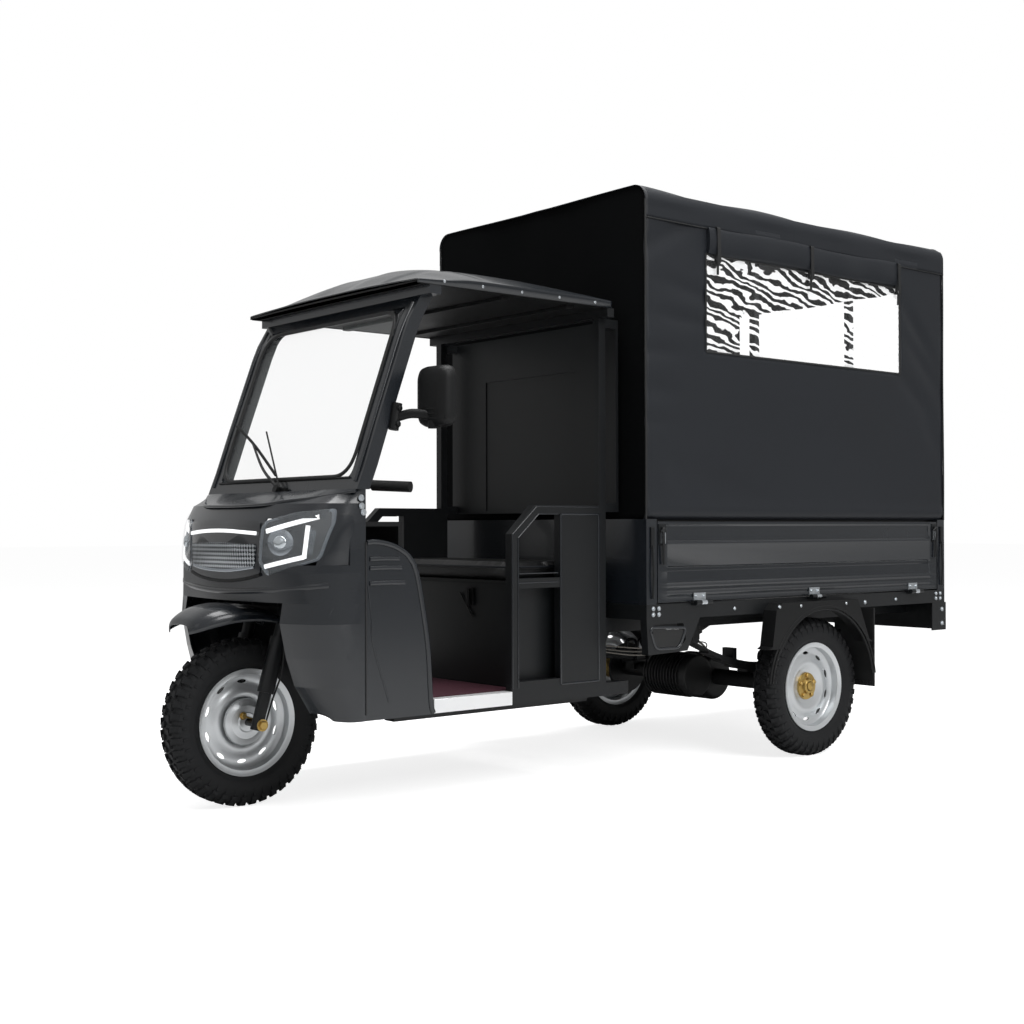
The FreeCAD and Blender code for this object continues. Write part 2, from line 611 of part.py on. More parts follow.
def make_cab_rear():
    width, rear = "dims.post_width", "(dims.post_x - dims.post_width)"
    inner, low = "(dims.cab_half_width - dims.post_width)", "dims.floor_top"
    top, outer = "dims.roof_low", "dims.roof_overhang"
    post = box("post_bar", rear, inner, low, width, width, top + " - " + low)
    ties = [box("tie_%s" % name, "dims.back_wall_x", inner, z, rear + " - dims.back_wall_x",
                width, width)
            for name, z in (("low", "dims.back_wall_low"), ("high", top + " - dims.high_tie_drop"))]
    side = fused("post_left", [post] + ties)
    head = box("head_rail", rear, "-" + inner, top + " - " + width, width, "2 * " + inner, width)
    wings = [box("head_wing_%d" % number, rear, y, top + " - " + width, width, outer, width)
             for number, y in enumerate(("dims.cab_half_width", "-dims.cab_half_width - " + outer))]
    frame = fused("rear_frame", [side, mirrored(side), head] + wings)
    sub_part("cab_rear_posts", [frame], front=True)

    half, wall_low = "dims.cab_half_width", "dims.back_wall_low"
    wall = box("back_wall_plate", "dims.back_wall_x - dims.back_wall", "-" + half, wall_low,
               "dims.back_wall", "2 * " + half, top + " - " + width + " - " + wall_low)
    recess = box("back_wall_recess", "dims.back_wall_x - dims.back_press", "-dims.back_press_half",
                 "dims.back_press_low", "2 * dims.back_press", "2 * dims.back_press_half",
                 "dims.back_press_height")
    sub_part("cab_back_wall", [cut("back_wall_pressed", wall, recess)], front=True)

    front, high, wide = "dims.guard_front", "dims.guard_top", "dims.guard_tube"
    x, inside, panel = "dims.post_x", front + " - " + wide, "dims.guard_panel"
    rung = "dims.guard_rung"
    points = [(x, low), (front, low), (front, high + " - dims.guard_corner"),
              (front + " - dims.guard_slant", high), (x, high)]
    guard = padded("guard_body", "XZ_Plane", points, wide)
    pocket(guard, "XZ_Plane", "guard_upper",
           [(panel, rung), (inside, rung), (inside, high + " - dims.guard_corner - " + wide + " / 2"),
            (front + " - dims.guard_slant - " + wide + " / 2", high + " - " + wide),
            (panel, high + " - " + wide)])
    pocket(guard, "XZ_Plane", "guard_lower",
           [(panel, low + " + " + wide), (inside, low + " + " + wide),
            (inside, rung + " - dims.guard_rung_depth"), (panel, rung + " - dims.guard_rung_depth")])
    bind(guard, Placement__Base__y=half)
    sub_part("side_guards", [guard, mirrored(guard)], front=True)


def make_mirror():
    """One mirror, on an arm from the left screen pillar."""
    x, y, z = size("mirror_x"), size("mirror_y"), size("mirror_z")
    width, height, depth = size("mirror_width"), size("mirror_height"), size("mirror_depth")
    half, arm, foot_wall = size("cab_half_width"), size("mirror_arm_radius"), size("mirror_foot_wall")
    foot_x, foot_length = size("mirror_foot_x"), size("mirror_foot_length")
    foot = Part.makeBox(foot_length, foot_wall, size("mirror_foot_height"),
                        Vector(foot_x, half, size("mirror_foot_z")))
    housing = Part.makeBox(depth, width, height, Vector(-depth / 2, -width / 2, -height / 2))
    housing = housing.makeFillet(size("mirror_round"), housing.Edges)
    housing.rotate(Vector(), Vector(0, 0, 1), size("mirror_turn"))
    housing.translate(Vector(x, y, z))
    start = Vector(foot_x + foot_length / 2, half + foot_wall - 2, size("mirror_arm_z"))
    knee = Vector(x + 4 * arm, half + size("mirror_arm_out"), size("mirror_arm_z") - foot_wall)
    end = Vector(x, y - 2 * arm, z - height / 2 + 3 * arm)
    pieces = [foot, tube(start, knee, arm), Part.makeSphere(arm, knee), tube(knee, end, arm)]
    mirror = shaped("mirror_shape", housing.multiFuse(pieces))
    sub_part("side_mirror", [mirror], front=True)


# ---- seat

def make_seat():
    half, wall = "dims.seat_half_width", "dims.box_wall"
    x, low = "dims.seat_box_rear", "dims.floor_top"
    length = "dims.seat_box_front - dims.seat_box_rear"
    outer = box("seat_box_outer", x, "-" + half, low, length, "2 * " + half,
                "dims.seat_box_top - dims.floor_top")
    inner = box("seat_box_inner", x + " + " + wall, "-%s + %s" % (half, wall), low + " + " + wall,
                length + " - 2 * " + wall, "2 * (%s - %s)" % (half, wall), "dims.seat_box_top")
    sub_part("seat_box", [cut("seat_box_cut", outer, inner)], front=True)
    battery = box("battery_block", x + " + " + wall, "-dims.battery_width / 2",
                  low + " + " + wall, "dims.battery_length", "dims.battery_width",
                  "dims.battery_height")
    sub_part("battery_pack", [battery], front=True)

    # The lid's rear edge is rounded about the line that it turns on.
    base, radius = "dims.seat_box_top + dims.fit_gap", "dims.seat_board_wall / 2"
    rear, length = "dims.seat_rear", "dims.seat_front - dims.seat_rear"
    plate = box("seat_board_plate", rear + " + " + radius, "-" + half, base,
                length + " - " + radius, "2 * " + half, "dims.seat_board_wall")
    edge = rod("seat_board_edge", "y", rear + " + " + radius, "-" + half, base + " + " + radius,
               radius, "2 * " + half)
    sub_part("seat_board", [fused("seat_board_rounded", [plate, edge])], front=True)
    cushion = box("seat_cushion_block", rear, "-" + half, base + " + dims.seat_board_wall",
                  length, "2 * " + half, "dims.cushion_height")
    sub_part("seat_cushion", [cushion], front=True)


# ---- bed

def make_deck():
    half, rail, post = "dims.bed_half_width", "dims.bed_rail_width", "dims.post_size"
    front, rear, low, top = "dims.bed_front", "dims.bed_rear", "dims.rail_top", "dims.bed_top"
    length = "dims.bed_front + dims.bed_rear"
    plate = box("deck_plate", "-" + rear, "-" + half, top + " - dims.deck_wall",
                length, "2 * " + half, "dims.deck_wall")
    side = box("deck_side_rail", "-" + rear, half + " - " + rail, low, length, rail,
               top + " - " + low)
    ends = [box("deck_end_%d" % number, x, "-" + half, low, rail, "2 * " + half, top + " - " + low)
            for number, x in enumerate(("-" + rear, front + " - " + rail))]
    joists = [box("deck_joist_%d" % number, "dims.joist_first + %d * dims.joist_pitch" % number,
                  "-%s + %s" % (half, rail), low, "dims.cross_width",
                  "2 * (%s - %s)" % (half, rail), top + " - " + low)
              for number in range(5)]
    floor_rear = "(-%s + dims.board_wall + dims.bed_floor_gap)" % rear
    floor_half = "(%s - %s - dims.fit_gap)" % (half, post)
    floor = box("deck_floor_sheet", floor_rear, "-" + floor_half, top,
                front + " - dims.front_wall - dims.fit_gap - " + floor_rear,
                "2 * " + floor_half, "dims.bed_floor_wall")
    deck = fused("deck_frame", [plate, side, mirrored(side), floor] + ends + joists)
    sub_part("bed_deck", [deck])

    high = "dims.post_high - dims.bed_top"
    wall = box("front_wall_plate", front + " - dims.front_wall", "-" + half + " + " + post,
               top, "dims.front_wall", "2 * (%s - %s)" % (half, post), high)
    sub_part("bed_front_wall", [wall])

    posts = []
    for name, x in (("front", front + " - " + post), ("rear", "-" + rear)):
        bar = box("corner_post_" + name, x, half + " - " + post, top, post, post, high)
        posts += [bar, mirrored(bar)]
    sub_part("bed_corner_posts", posts)


def knuckles(x):
    """Rail-side knuckles with their pin, and the board-side knuckle, of one left-side hinge."""
    z = size("bed_top") + size("hinge_rise")
    barrel, pin, wall = size("hinge_barrel_radius"), size("hinge_pin_radius"), size("hinge_leaf_wall")
    half, third = size("hinge_half_length"), size("hinge_half_length") / 3
    side, out = size("bed_half_width"), size("hinge_out")
    along, y = Vector(1, 0, 0), side + out
    body = Part.makeBox(2 * half, out, wall, Vector(x - half, side, z - wall - 1))
    body = body.fuse(Part.makeCylinder(barrel, 2 * half, Vector(x - half, y, z), along))
    gap = Part.makeCylinder(1.4 * barrel, 2 * third, Vector(x - third, y, z), along)
    pins = Part.makeCylinder(pin, 2 * half, Vector(x - half, y, z), along)
    fixed = body.cut(gap).fuse(pins)
    width = 2 * third - 2
    leaf = Part.makeBox(width, out, size("hinge_leaf_height"), Vector(x - width / 2, side, z + 2))
    leaf = leaf.fuse(Part.makeCylinder(barrel, width, Vector(x - width / 2, y, z), along))
    bore = pin + size("shaft_clearance")
    return fixed, leaf.cut(Part.makeCylinder(bore, 4 * half, Vector(x - 2 * half, y, z), along))


def make_boards():
    half, wall = size("bed_half_width"), size("board_wall")
    low, high = size("board_low"), size("board_high")
    inset = size("post_size") + size("post_gap")
    front, rear = size("bed_front") - inset, inset - size("bed_rear")
    fixed = []
    board = Part.makeBox(front - rear, wall, high - low, Vector(rear, half - wall, low))
    for number in (-1, 0, 1):
        rail, leaf = knuckles(number * size("hinge_spacing"))
        fixed += [rail, rail.mirror(Vector(), Vector(0, 1, 0))]
        board = board.fuse(leaf)
    sub_part("side_board_left", [shaped("side_board_left_shape", board)])
    board = board.mirror(Vector(), Vector(0, 1, 0))
    sub_part("side_board_right", [shaped("side_board_right_shape", board)])

    # The tailgate's hinges are side hinges turned to face the rear.
    width = half - inset
    gate = Part.makeBox(wall, 2 * width, high - low, Vector(-size("bed_rear"), -width, low))
    for number in (-1, 0, 1):
        rail, leaf = knuckles(0)
        for shape in (rail, leaf):
            shape.translate(Vector(0, -half, 0))
            shape.rotate(Vector(), Vector(0, 0, 1), 90)
            shape.translate(Vector(-size("bed_rear"), number * size("tail_hinge_spacing"), 0))
        fixed.append(rail)
        gate = gate.fuse(leaf)
    sub_part("tailgate", [shaped("tailgate_shape", gate)])
    hinges = [shaped("bed_hinge_%d" % number, shape) for number, shape in enumerate(fixed)]
    sub_part("bed_hinges", hinges)


# ---- canopy

def cover_block(inset, drop):
    """The canopy's outer form moved in by an inset, with its foot lower by drop."""
    front, rear = size("bed_front") - inset, inset - size("bed_rear")
    side, top = size("bed_half_width") - inset, size("canvas_high") - inset
    base = size("canvas_low") - drop
    solid = Part.makeBox(front - rear, 2 * side, top - base, Vector(rear, -side, base))
    edges = [edge for edge in solid.Edges
             if abs(edge.CenterOfMass.z - top) < 1 and abs(edge.CenterOfMass.y) > side / 2]
    return solid.makeFillet(size("canvas_round") - inset, edges)


def make_canopy():
    """A cover with side windows and an open rear, whose curtain is rolled up above the opening."""
    half, wall, low = size("bed_half_width"), size("canvas_wall"), size("canvas_low")
    rear, door_half, door_top = -size("bed_rear"), size("rear_door_half"), size("rear_door_top")
    cover = cover_block(0, 0).cut(cover_block(wall, 2 * wall))
    window = Part.makeBox(size("window_front") - size("window_rear"), 4 * half,
                          size("window_high") - size("window_low"),
                          Vector(size("window_rear"), -2 * half, size("window_low")))
    door = Part.makeBox(4 * wall, 2 * door_half, door_top - low + wall,
                        Vector(rear - wall, -door_half, low - wall))
    depth, height, seat = size("roll_half_depth"), size("roll_half_height"), size("roll_seat")
    section = Part.Wire(Part.Ellipse(Vector(), height, depth).toShape())
    roll = Part.Face(section).extrude(Vector(0, 0, 2 * door_half))
    roll.rotate(Vector(), Vector(0, 0, 1), 90)
    roll.rotate(Vector(), Vector(1, 0, 0), 90)
    roll.translate(Vector(rear - depth + seat, door_half, door_top + height - seat))
    cover = cover.cut(window).cut(door).fuse(roll)
    sub_part("canvas_cover", [shaped("canvas_cover_shape", cover)])

    film = box("window_film", "dims.window_rear", "dims.bed_half_width - dims.canvas_wall / 2",
               "dims.window_low", "dims.window_front - dims.window_rear", "dims.film_wall",
               "dims.window_high - dims.window_low")
    sub_part("canvas_windows", [film, mirrored(film)])


def make_bows():
    wide, inset = "dims.bow_tube", "(dims.canvas_wall + dims.bow_inset)"
    outer = "(dims.bed_half_width - %s)" % inset
    top, foot = "(dims.canvas_high - %s)" % inset, "dims.post_high"
    first = "(-dims.bed_rear + %s)" % inset
    last = "(dims.bed_front - %s - %s)" % (inset, wide)
    pieces = []
    for number in range(4):
        x = "%s + %d * (%s - %s) / 3" % (first, number, last, first)
        leg = box("bow_leg_%d" % number, x, "%s - %s" % (outer, wide), foot,
                  wide, wide, "%s - %s" % (top, foot))
        beam = box("bow_beam_%d" % number, x, "-" + outer, "%s - %s" % (top, wide),
                   wide, "2 * " + outer, wide)
        pieces += [leg, mirrored(leg), beam]
    length = "%s - %s + %s" % (last, first, wide)
    top_rail = box("bow_top_rail", first, "%s - %s" % (outer, wide), "%s - %s" % (top, wide),
                   length, wide, wide)
    ridge = box("bow_ridge", first, "-%s / 2" % wide, "%s - %s" % (top, wide), length, wide, wide)
    # The low rails run from post to post inside the side boards.
    rail_rear = "(-dims.bed_rear + dims.post_size + dims.fit_gap)"
    rail_front = "(dims.bed_front - dims.post_size - dims.fit_gap)"
    rail_outer = "(dims.bed_half_width - dims.board_wall - dims.bow_rail_gap)"
    low_rail = box("bow_low_rail", rail_rear, "%s - %s" % (rail_outer, wide),
                   "%s - %s" % (foot, wide), "%s - %s" % (rail_front, rail_rear), wide, wide)
    pieces += [low_rail, mirrored(low_rail), top_rail, mirrored(top_rail), ridge]
    sub_part("canopy_bows", [fused("bow_frame", pieces)])


# ---- rear

def make_axle():
    """Axle tube with its stubs, differential, motor, spring seats and brake plates."""
    z, end = size("tyre_radius"), size("axle_tube_end")
    across = Vector(0, 1, 0)
    stub = size("rear_half_track") + size("stub_reach")
    pieces = [Part.makeCylinder(size("axle_tube_radius"), 2 * end, Vector(0, -end, z), across),
              Part.makeCylinder(size("rear_stub_radius"), 2 * stub, Vector(0, -stub, z), across)]
    diff, motor_x = size("diff_half_width"), size("motor_x")
    case = Part.makeCylinder(size("diff_radius"), 2 * diff, Vector(0, -diff, z), across)
    pieces.append(case.makeFillet(size("diff_round"), case.Edges))
    motor = Part.makeCylinder(size("motor_radius"), size("motor_length"),
                              Vector(motor_x, -diff, z + size("motor_rise")), across)
    pieces.append(motor.makeFillet(size("motor_round"), motor.Edges))
    pieces.append(Part.makeBox(motor_x, diff, size("gear_height"),
                               Vector(0, -diff, z - size("gear_low"))))
    half, offset, seat = size("rail_width") / 2, size("rail_offset"), size("spring_seat")
    seat_top = size("leaf_top") - size("leaf_wall") * size("leaf_count")
    plate = size("brake_wall")
    for side in (-1, 1):
        pieces.append(Part.makeBox(seat, 2 * half, seat_top - z,
                                   Vector(-seat / 2, side * offset - half, z)))
        pieces.append(Part.makeCylinder(size("brake_radius"), plate,
                                        Vector(0, side * end - plate / 2, z), across))
    shape = pieces[0].multiFuse(pieces[1:]).removeSplitter()
    sub_part("rear_axle", [shaped("rear_axle_shape", shape)])


def make_springs():
    """Leaves share one centre; each is shorter than the one above it."""
    radius, wall, top = size("leaf_radius"), size("leaf_wall"), size("leaf_top")
    half, offset = size("rail_width") / 2, size("rail_offset")
    reach, centre_z = size("leaf_half_length"), top + radius
    pieces = []
    for number in range(int(size("leaf_count"))):
        inner = radius + number * wall
        angle = math.asin(reach * (1 - size("leaf_step") * number) / radius)
        rings = []
        for depth in (inner, inner + wall):
            rings.append([Vector(depth * math.sin(turn), 0, centre_z - depth * math.cos(turn))
                          for turn in (-angle, 0, angle)])
        near, far = rings
        edges = [Part.Arc(*near).toShape(), Part.LineSegment(near[2], far[2]).toShape(),
                 Part.Arc(*far[::-1]).toShape(), Part.LineSegment(far[0], near[0]).toShape()]
        leaf = Part.Face(Part.Wire(edges)).extrude(Vector(0, 2 * half, 0))
        pieces.append(leaf)
    eye_z = centre_z - math.sqrt(radius ** 2 - reach ** 2) + size("eye_rise")
    hanger, width = size("rail_top") - size("rail_depth") - eye_z, size("hanger_width")
    for x in (-reach, reach):
        pieces.append(Part.makeCylinder(size("leaf_eye_radius"), 2 * half, Vector(x, 0, eye_z),
                                        Vector(0, 1, 0)))
        pieces.append(Part.makeBox(width, 2 * half, hanger, Vector(x - width / 2, 0, eye_z)))
    shape = pieces[0].multiFuse(pieces[1:]).removeSplitter()
    shape.translate(Vector(0, offset - half, 0))
    spring = shaped("leaf_spring_shape", shape)
    sub_part("leaf_springs", [spring, mirrored(spring)])


def make_rear_body():
    side, out, rail_top = "dims.bed_half_width", "dims.flare_width", "dims.rail_top"
    points = [("330", "420"), ("312", "430"), ("290", "560"), ("258", "dims.flare_top"),
              ("-191", "dims.flare_top"), ("-262", "430"), ("-285", "420")]
    flare = padded("flare_body", "XZ_Plane", points, out)
    bind(flare, Placement__Base__y=side + " + " + out)
    well = rod("flare_well", "y", 0, side + " - " + out, "dims.tyre_radius",
               "dims.flare_radius", "3 * " + out)
    flare = cut("flare_cut", flare, well)
    sub_part("rear_fenders", [flare, mirrored(flare)])

    flap_in = "(dims.rear_half_track - dims.tyre_width / 2 + dims.flap_inset)"
    flap = box("flap_sheet", "dims.flap_x", flap_in, "dims.flap_low", "dims.flap_wall",
               side + " + " + out + " - " + flap_in, rail_top + " - dims.flap_low")
    sub_part("mudflaps", [flap, mirrored(flap)])

    wall, reach = "dims.sheet_wall", "dims.tail_reach"
    low, height = "dims.tail_board_low", rail_top + " - dims.tail_board_low"
    face = box("tail_face", "-" + reach, "-" + side, low, wall, "2 * " + side, height)
    cheek = box("tail_cheek", "-" + reach, side + " - " + wall, low, "dims.tail_board_depth",
                wall, height)
    sub_part("rear_lamp_board", [fused("tail_board", [face, cheek, mirrored(cheek)])])

    lamp = box("tail_lamp_block", "-%s - dims.tail_lamp_depth" % reach,
               "dims.tail_lamp_offset - dims.tail_lamp_width / 2", low + " + dims.tail_lamp_rise",
               "dims.tail_lamp_depth", "dims.tail_lamp_width", "dims.tail_lamp_height")
    sub_part("tail_lamps", [lamp, mirrored(lamp)])

    points = [("dims.bed_front", rail_top), ("630", rail_top), ("694", "436"), ("886", "430")]
    step = padded("step_body", "XZ_Plane", points, "dims.step_width")
    pocket(step, "XZ_Plane", "step_slot",
           [("858", "532"), ("716", "532"), ("704", "505"), ("704", "474"), ("726", "452"),
            ("848", "450")])
    bind(step, Placement__Base__y=side)
    sub_part("side_steps", [step, mirrored(step)])


make_wheels()
make_chassis()
make_steering_head()
make_front_fender(make_fork())
make_handlebar()
make_floor()
make_nose()
make_leg_room()
make_screen()
make_roof()
make_cab_rear()
make_mirror()
make_seat()
make_deck()
make_boards()
make_canopy()
make_bows()
make_axle()
make_springs()
make_rear_body()
doc.recompute()

faults = [item.Name for item in doc.Objects if "Invalid" in item.State or "Error" in item.State]
faults += [item.Label for item in NODES if item.Shape.isNull() or not item.Shape.isValid()]
if faults:
    raise SystemExit("these objects failed: " + ", ".join(faults))

os.makedirs("parts", exist_ok=True)
for item in NODES:
    item.Shape.exportStep(os.path.join("parts", item.Label + ".step"))
    span = item.Shape.BoundBox
    print("%-20s %2d solids  x %7.1f %7.1f  y %7.1f %7.1f  z %7.1f %7.1f  %8.2f l" % (
        item.Label, len(item.Shape.Solids), span.XMin, span.XMax, span.YMin, span.YMax,
        span.ZMin, span.ZMax, item.Shape.Volume / 1e6))
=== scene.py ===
import json
import math
import bmesh
import bpy
import numpy as np
from mathutils import Matrix, Vector


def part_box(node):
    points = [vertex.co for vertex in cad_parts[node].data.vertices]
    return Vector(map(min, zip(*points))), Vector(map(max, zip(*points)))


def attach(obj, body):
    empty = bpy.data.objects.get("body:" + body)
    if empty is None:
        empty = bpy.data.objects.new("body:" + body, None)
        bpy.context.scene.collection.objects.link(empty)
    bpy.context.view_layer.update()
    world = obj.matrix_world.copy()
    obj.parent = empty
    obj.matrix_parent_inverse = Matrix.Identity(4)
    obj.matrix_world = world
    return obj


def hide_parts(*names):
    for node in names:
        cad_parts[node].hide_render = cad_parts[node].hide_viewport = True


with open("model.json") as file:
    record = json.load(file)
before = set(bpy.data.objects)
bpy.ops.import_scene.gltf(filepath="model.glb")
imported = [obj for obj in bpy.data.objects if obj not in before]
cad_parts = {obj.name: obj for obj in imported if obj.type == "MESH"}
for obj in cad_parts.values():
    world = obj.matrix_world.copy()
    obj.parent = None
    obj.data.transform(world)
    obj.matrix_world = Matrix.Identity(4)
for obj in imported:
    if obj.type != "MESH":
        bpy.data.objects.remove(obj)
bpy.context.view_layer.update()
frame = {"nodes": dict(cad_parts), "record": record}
nodes = frame["nodes"]

# Everything below is in metres, +X forward, +Y to the vehicle's left, +Z up.
# The vehicle is laid out from its rear axle, whose place comes from the frame.
rearLow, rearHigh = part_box("rear_tyre_left")
frontLow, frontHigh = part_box("front_tyre")
rearAxleX = (rearLow[0] + rearHigh[0]) / 2
wheelBase = (frontLow[0] + frontHigh[0]) / 2 - rearAxleX
tyreRadius = (frontHigh[2] - frontLow[2]) / 2


stageLook = {"lens": 49.69, "sensor": 36.0, "place": (4.29402, 3.92896, 0.86274), "yaw": 230.046,
             "pitch": 0.617, "roll": -0.117, "floorColor": "#F4F4F4", "floorGlow": 0.80, "room": 0.20,
             "mirrored": 0.42,
             "lamps": (("key", (0.4, 5.2, 4.4), (0.2, 0, 0.8), 3.0, 165.0),
                       ("front", (5.5, 1.2, 3.0), (1.2, 0, 0.6), 2.5, 8.0),
                       ("top", (0.2, 0.4, 5.8), (0.2, 0, 0.0), 4.0, 340.0))}


# sRGB hex to linear RGBA: the standard curve, straight near black and a 2.4 power above.
def toLinear(hexColor):
    raw = np.array([int(hexColor[i:i + 2], 16) for i in (1, 3, 5)]) / 255
    low, high = raw / 12.92, ((raw + 0.055) / 1.055) ** 2.4
    return (*np.where(raw <= 0.04045, low, high), 1.0)


# Adds one node; settings go to its sockets or its own options, links come from other sockets.
def addNode(material, kind, settings=None, links=None):
    node = material.node_tree.nodes.new(kind)
    for key, value in (settings or {}).items():
        if isinstance(key, int) or key in node.inputs:
            node.inputs[key].default_value = value
        else:
            setattr(node, key, value)
    for key, source in (links or {}).items():
        material.node_tree.links.new(source, node.inputs[key])
    return node


def emptyMaterial(name):
    material = bpy.data.materials.new(name)
    material.use_nodes = True
    material.node_tree.nodes.clear()
    return material


def makeCamera():
    data = bpy.data.cameras.new("camera")
    data.sensor_fit = "HORIZONTAL"
    data.sensor_width = stageLook["sensor"]
    data.lens = stageLook["lens"]
    data.clip_end = 200
    camera = bpy.data.objects.new("camera", data)
    bpy.context.scene.collection.objects.link(camera)
    yaw, pitch = math.radians(stageLook["yaw"]), math.radians(stageLook["pitch"])
    roll = math.radians(stageLook["roll"])
    ahead = Vector((math.cos(yaw) * math.cos(pitch), math.sin(yaw) * math.cos(pitch),
                    math.sin(pitch)))
    right = ahead.cross(Vector((0, 0, 1))).normalized()
    up = right.cross(ahead)
    turnedRight = math.cos(roll) * right + math.sin(roll) * up
    turnedUp = -math.sin(roll) * right + math.cos(roll) * up
    turn = Matrix((turnedRight, turnedUp, -ahead)).transposed().to_4x4()
    x, y, z = stageLook["place"]
    camera.matrix_world = Matrix.Translation((x + rearAxleX, y, z)) @ turn
    bpy.context.scene.camera = camera


# A wide pale floor; the camera sees it plain white.
def makeBackdrop():
    size = 60
    mesh = bpy.data.meshes.new("studio_floor")
    corners = [(-size, -size, 0), (size, -size, 0), (size, size, 0), (-size, size, 0)]
    mesh.from_pydata(corners, [], [(0, 1, 2, 3)])
    floor = bpy.data.objects.new("studio_floor", mesh)
    bpy.context.scene.collection.objects.link(floor)
    material = emptyMaterial("paper_white_floor")
    path = addNode(material, "ShaderNodeLightPath")
    lift = addNode(material, "ShaderNodeMath", {"operation": "MULTIPLY", 1: stageLook["floorGlow"]},
                   {0: path.outputs["Is Camera Ray"]})
    paper = addNode(material, "ShaderNodeBsdfDiffuse", {"Color": toLinear(stageLook["floorColor"])})
    glow = addNode(material, "ShaderNodeEmission", None, {"Strength": lift.outputs[0]})
    both = addNode(material, "ShaderNodeAddShader", None, {0: paper.outputs[0], 1: glow.outputs[0]})
    addNode(material, "ShaderNodeOutputMaterial", None, {"Surface": both.outputs[0]})
    mesh.materials.append(material)


def makeLights():
    # diffuse rays meet a dim room, mirrored rays a brighter one, the camera plain white
    world = bpy.data.worlds.new("studio")
    bpy.context.scene.world = world
    world.use_nodes = True
    world.node_tree.nodes.clear()
    path = addNode(world, "ShaderNodeLightPath")
    through = addNode(world, "ShaderNodeMath", {"operation": "MAXIMUM"},
                      {0: path.outputs["Is Camera Ray"], 1: path.outputs["Is Transmission Ray"]})
    mirrored = addNode(world, "ShaderNodeMath", {"operation": "MULTIPLY", 1: stageLook["mirrored"]},
                       {0: path.outputs["Is Glossy Ray"]})
    seen = addNode(world, "ShaderNodeMath", {"operation": "MAXIMUM"},
                   {0: through.outputs[0], 1: mirrored.outputs[0]})
    dim = addNode(world, "ShaderNodeBackground", {"Color": (1, 1, 1, 1), "Strength": stageLook["room"]})
    bright = addNode(world, "ShaderNodeBackground", {"Color": (1, 1, 1, 1), "Strength": 1.0})
    mix = addNode(world, "ShaderNodeMixShader", None,
                  {0: seen.outputs[0], 1: dim.outputs[0], 2: bright.outputs[0]})
    addNode(world, "ShaderNodeOutputWorld", None, {"Surface": mix.outputs[0]})
    for name, place, target, size, power in stageLook["lamps"]:
        data = bpy.data.lights.new(name, "AREA")
        data.shape = "SQUARE"
        data.size = size
        data.energy = power
        lamp = bpy.data.objects.new(name, data)
        bpy.context.scene.collection.objects.link(lamp)
        lamp.location = place
        lamp.rotation_euler = (Vector(target) - Vector(place)).to_track_quat("-Z", "Y").to_euler()


bpy.context.scene.view_settings.view_transform = "Standard"
makeCamera()
makeBackdrop()
makeLights()
print("camera, floor and light are set")


def finishMaterial(material, shader):
    addNode(material, "ShaderNodeOutputMaterial", None, {"Surface": shader.outputs[0]})
    return material


# A finish whose colour and roughness drift a little and whose surface has a fine grain.
def plainFinish(name, color, roughness, metallic=0.0, grainMm=1.0, bump=0.15, coat=0.0,
                spread=0.12, alpha=1.0, shine=0.5):
    material = emptyMaterial(name)
    place = addNode(material, "ShaderNodeTexCoord")
    cloud = addNode(material, "ShaderNodeTexNoise", {"Scale": 3.0, "Detail": 3.0},
                    {"Vector": place.outputs["Object"]})
    grain = addNode(material, "ShaderNodeTexNoise", {"Scale": 1000 / grainMm, "Detail": 2.0},
                    {"Vector": place.outputs["Object"]})
    base = np.array(toLinear(color)[:3])
    dark, light = tuple(base * (1 - spread)) + (1,), tuple(base * (1 + spread)) + (1,)
    tint = addNode(material, "ShaderNodeMix", {"data_type": "RGBA", 6: dark, 7: light},
                   {0: cloud.outputs["Fac"]})
    rough = addNode(material, "ShaderNodeMapRange", {3: roughness * 0.85, 4: roughness * 1.15},
                    {0: cloud.outputs["Fac"]})
    relief = addNode(material, "ShaderNodeBump", {"Strength": bump, "Distance": grainMm / 1000},
                     {"Height": grain.outputs["Fac"]})
    shader = addNode(material, "ShaderNodeBsdfPrincipled",
                     {"Metallic": metallic, "Coat Weight": coat, "Coat Roughness": 0.08,
                      "Alpha": alpha, "Specular IOR Level": shine},
                     {"Base Color": tint.outputs[2], "Roughness": rough.outputs[0],
                      "Normal": relief.outputs[0]})
    return finishMaterial(material, shader)


# Clear film: see-through, with leaning white bands of painted highlight and a faint painted glow, standing for
# its wrinkles catching the light.
def filmFinish(name, bandMm):
    material = emptyMaterial(name)
    place = addNode(material, "ShaderNodeTexCoord")
    turned = addNode(material, "ShaderNodeMapping", {"Rotation": (0, 0.5, 0), "Scale": (0.45, 1, 1)},
                     {"Vector": place.outputs["Object"]})
    bands = addNode(material, "ShaderNodeTexWave", {"Scale": 300 / bandMm, "Distortion": 12.0,
                                                    "Detail": 2.5, "Detail Scale": 1.4,
                                                    "bands_direction": "Z"},
                    {"Vector": turned.outputs["Vector"]})
    # the white colour and white emission show only on the bands: a painted highlight and glow, elsewhere the
    # film is nearly clear
    mask = addNode(material, "ShaderNodeMapRange", {1: 0.50, 2: 0.62, 3: 0.03, 4: 0.80},
                   {0: bands.outputs["Fac"]})
    shader = addNode(material, "ShaderNodeBsdfPrincipled",
                     {"Base Color": toLinear("#F6F7F8"), "Roughness": 0.12,
                      "Emission Color": toLinear("#FFFFFF"), "Emission Strength": 0.35},
                     {"Alpha": mask.outputs[0]})
    return finishMaterial(material, shader)
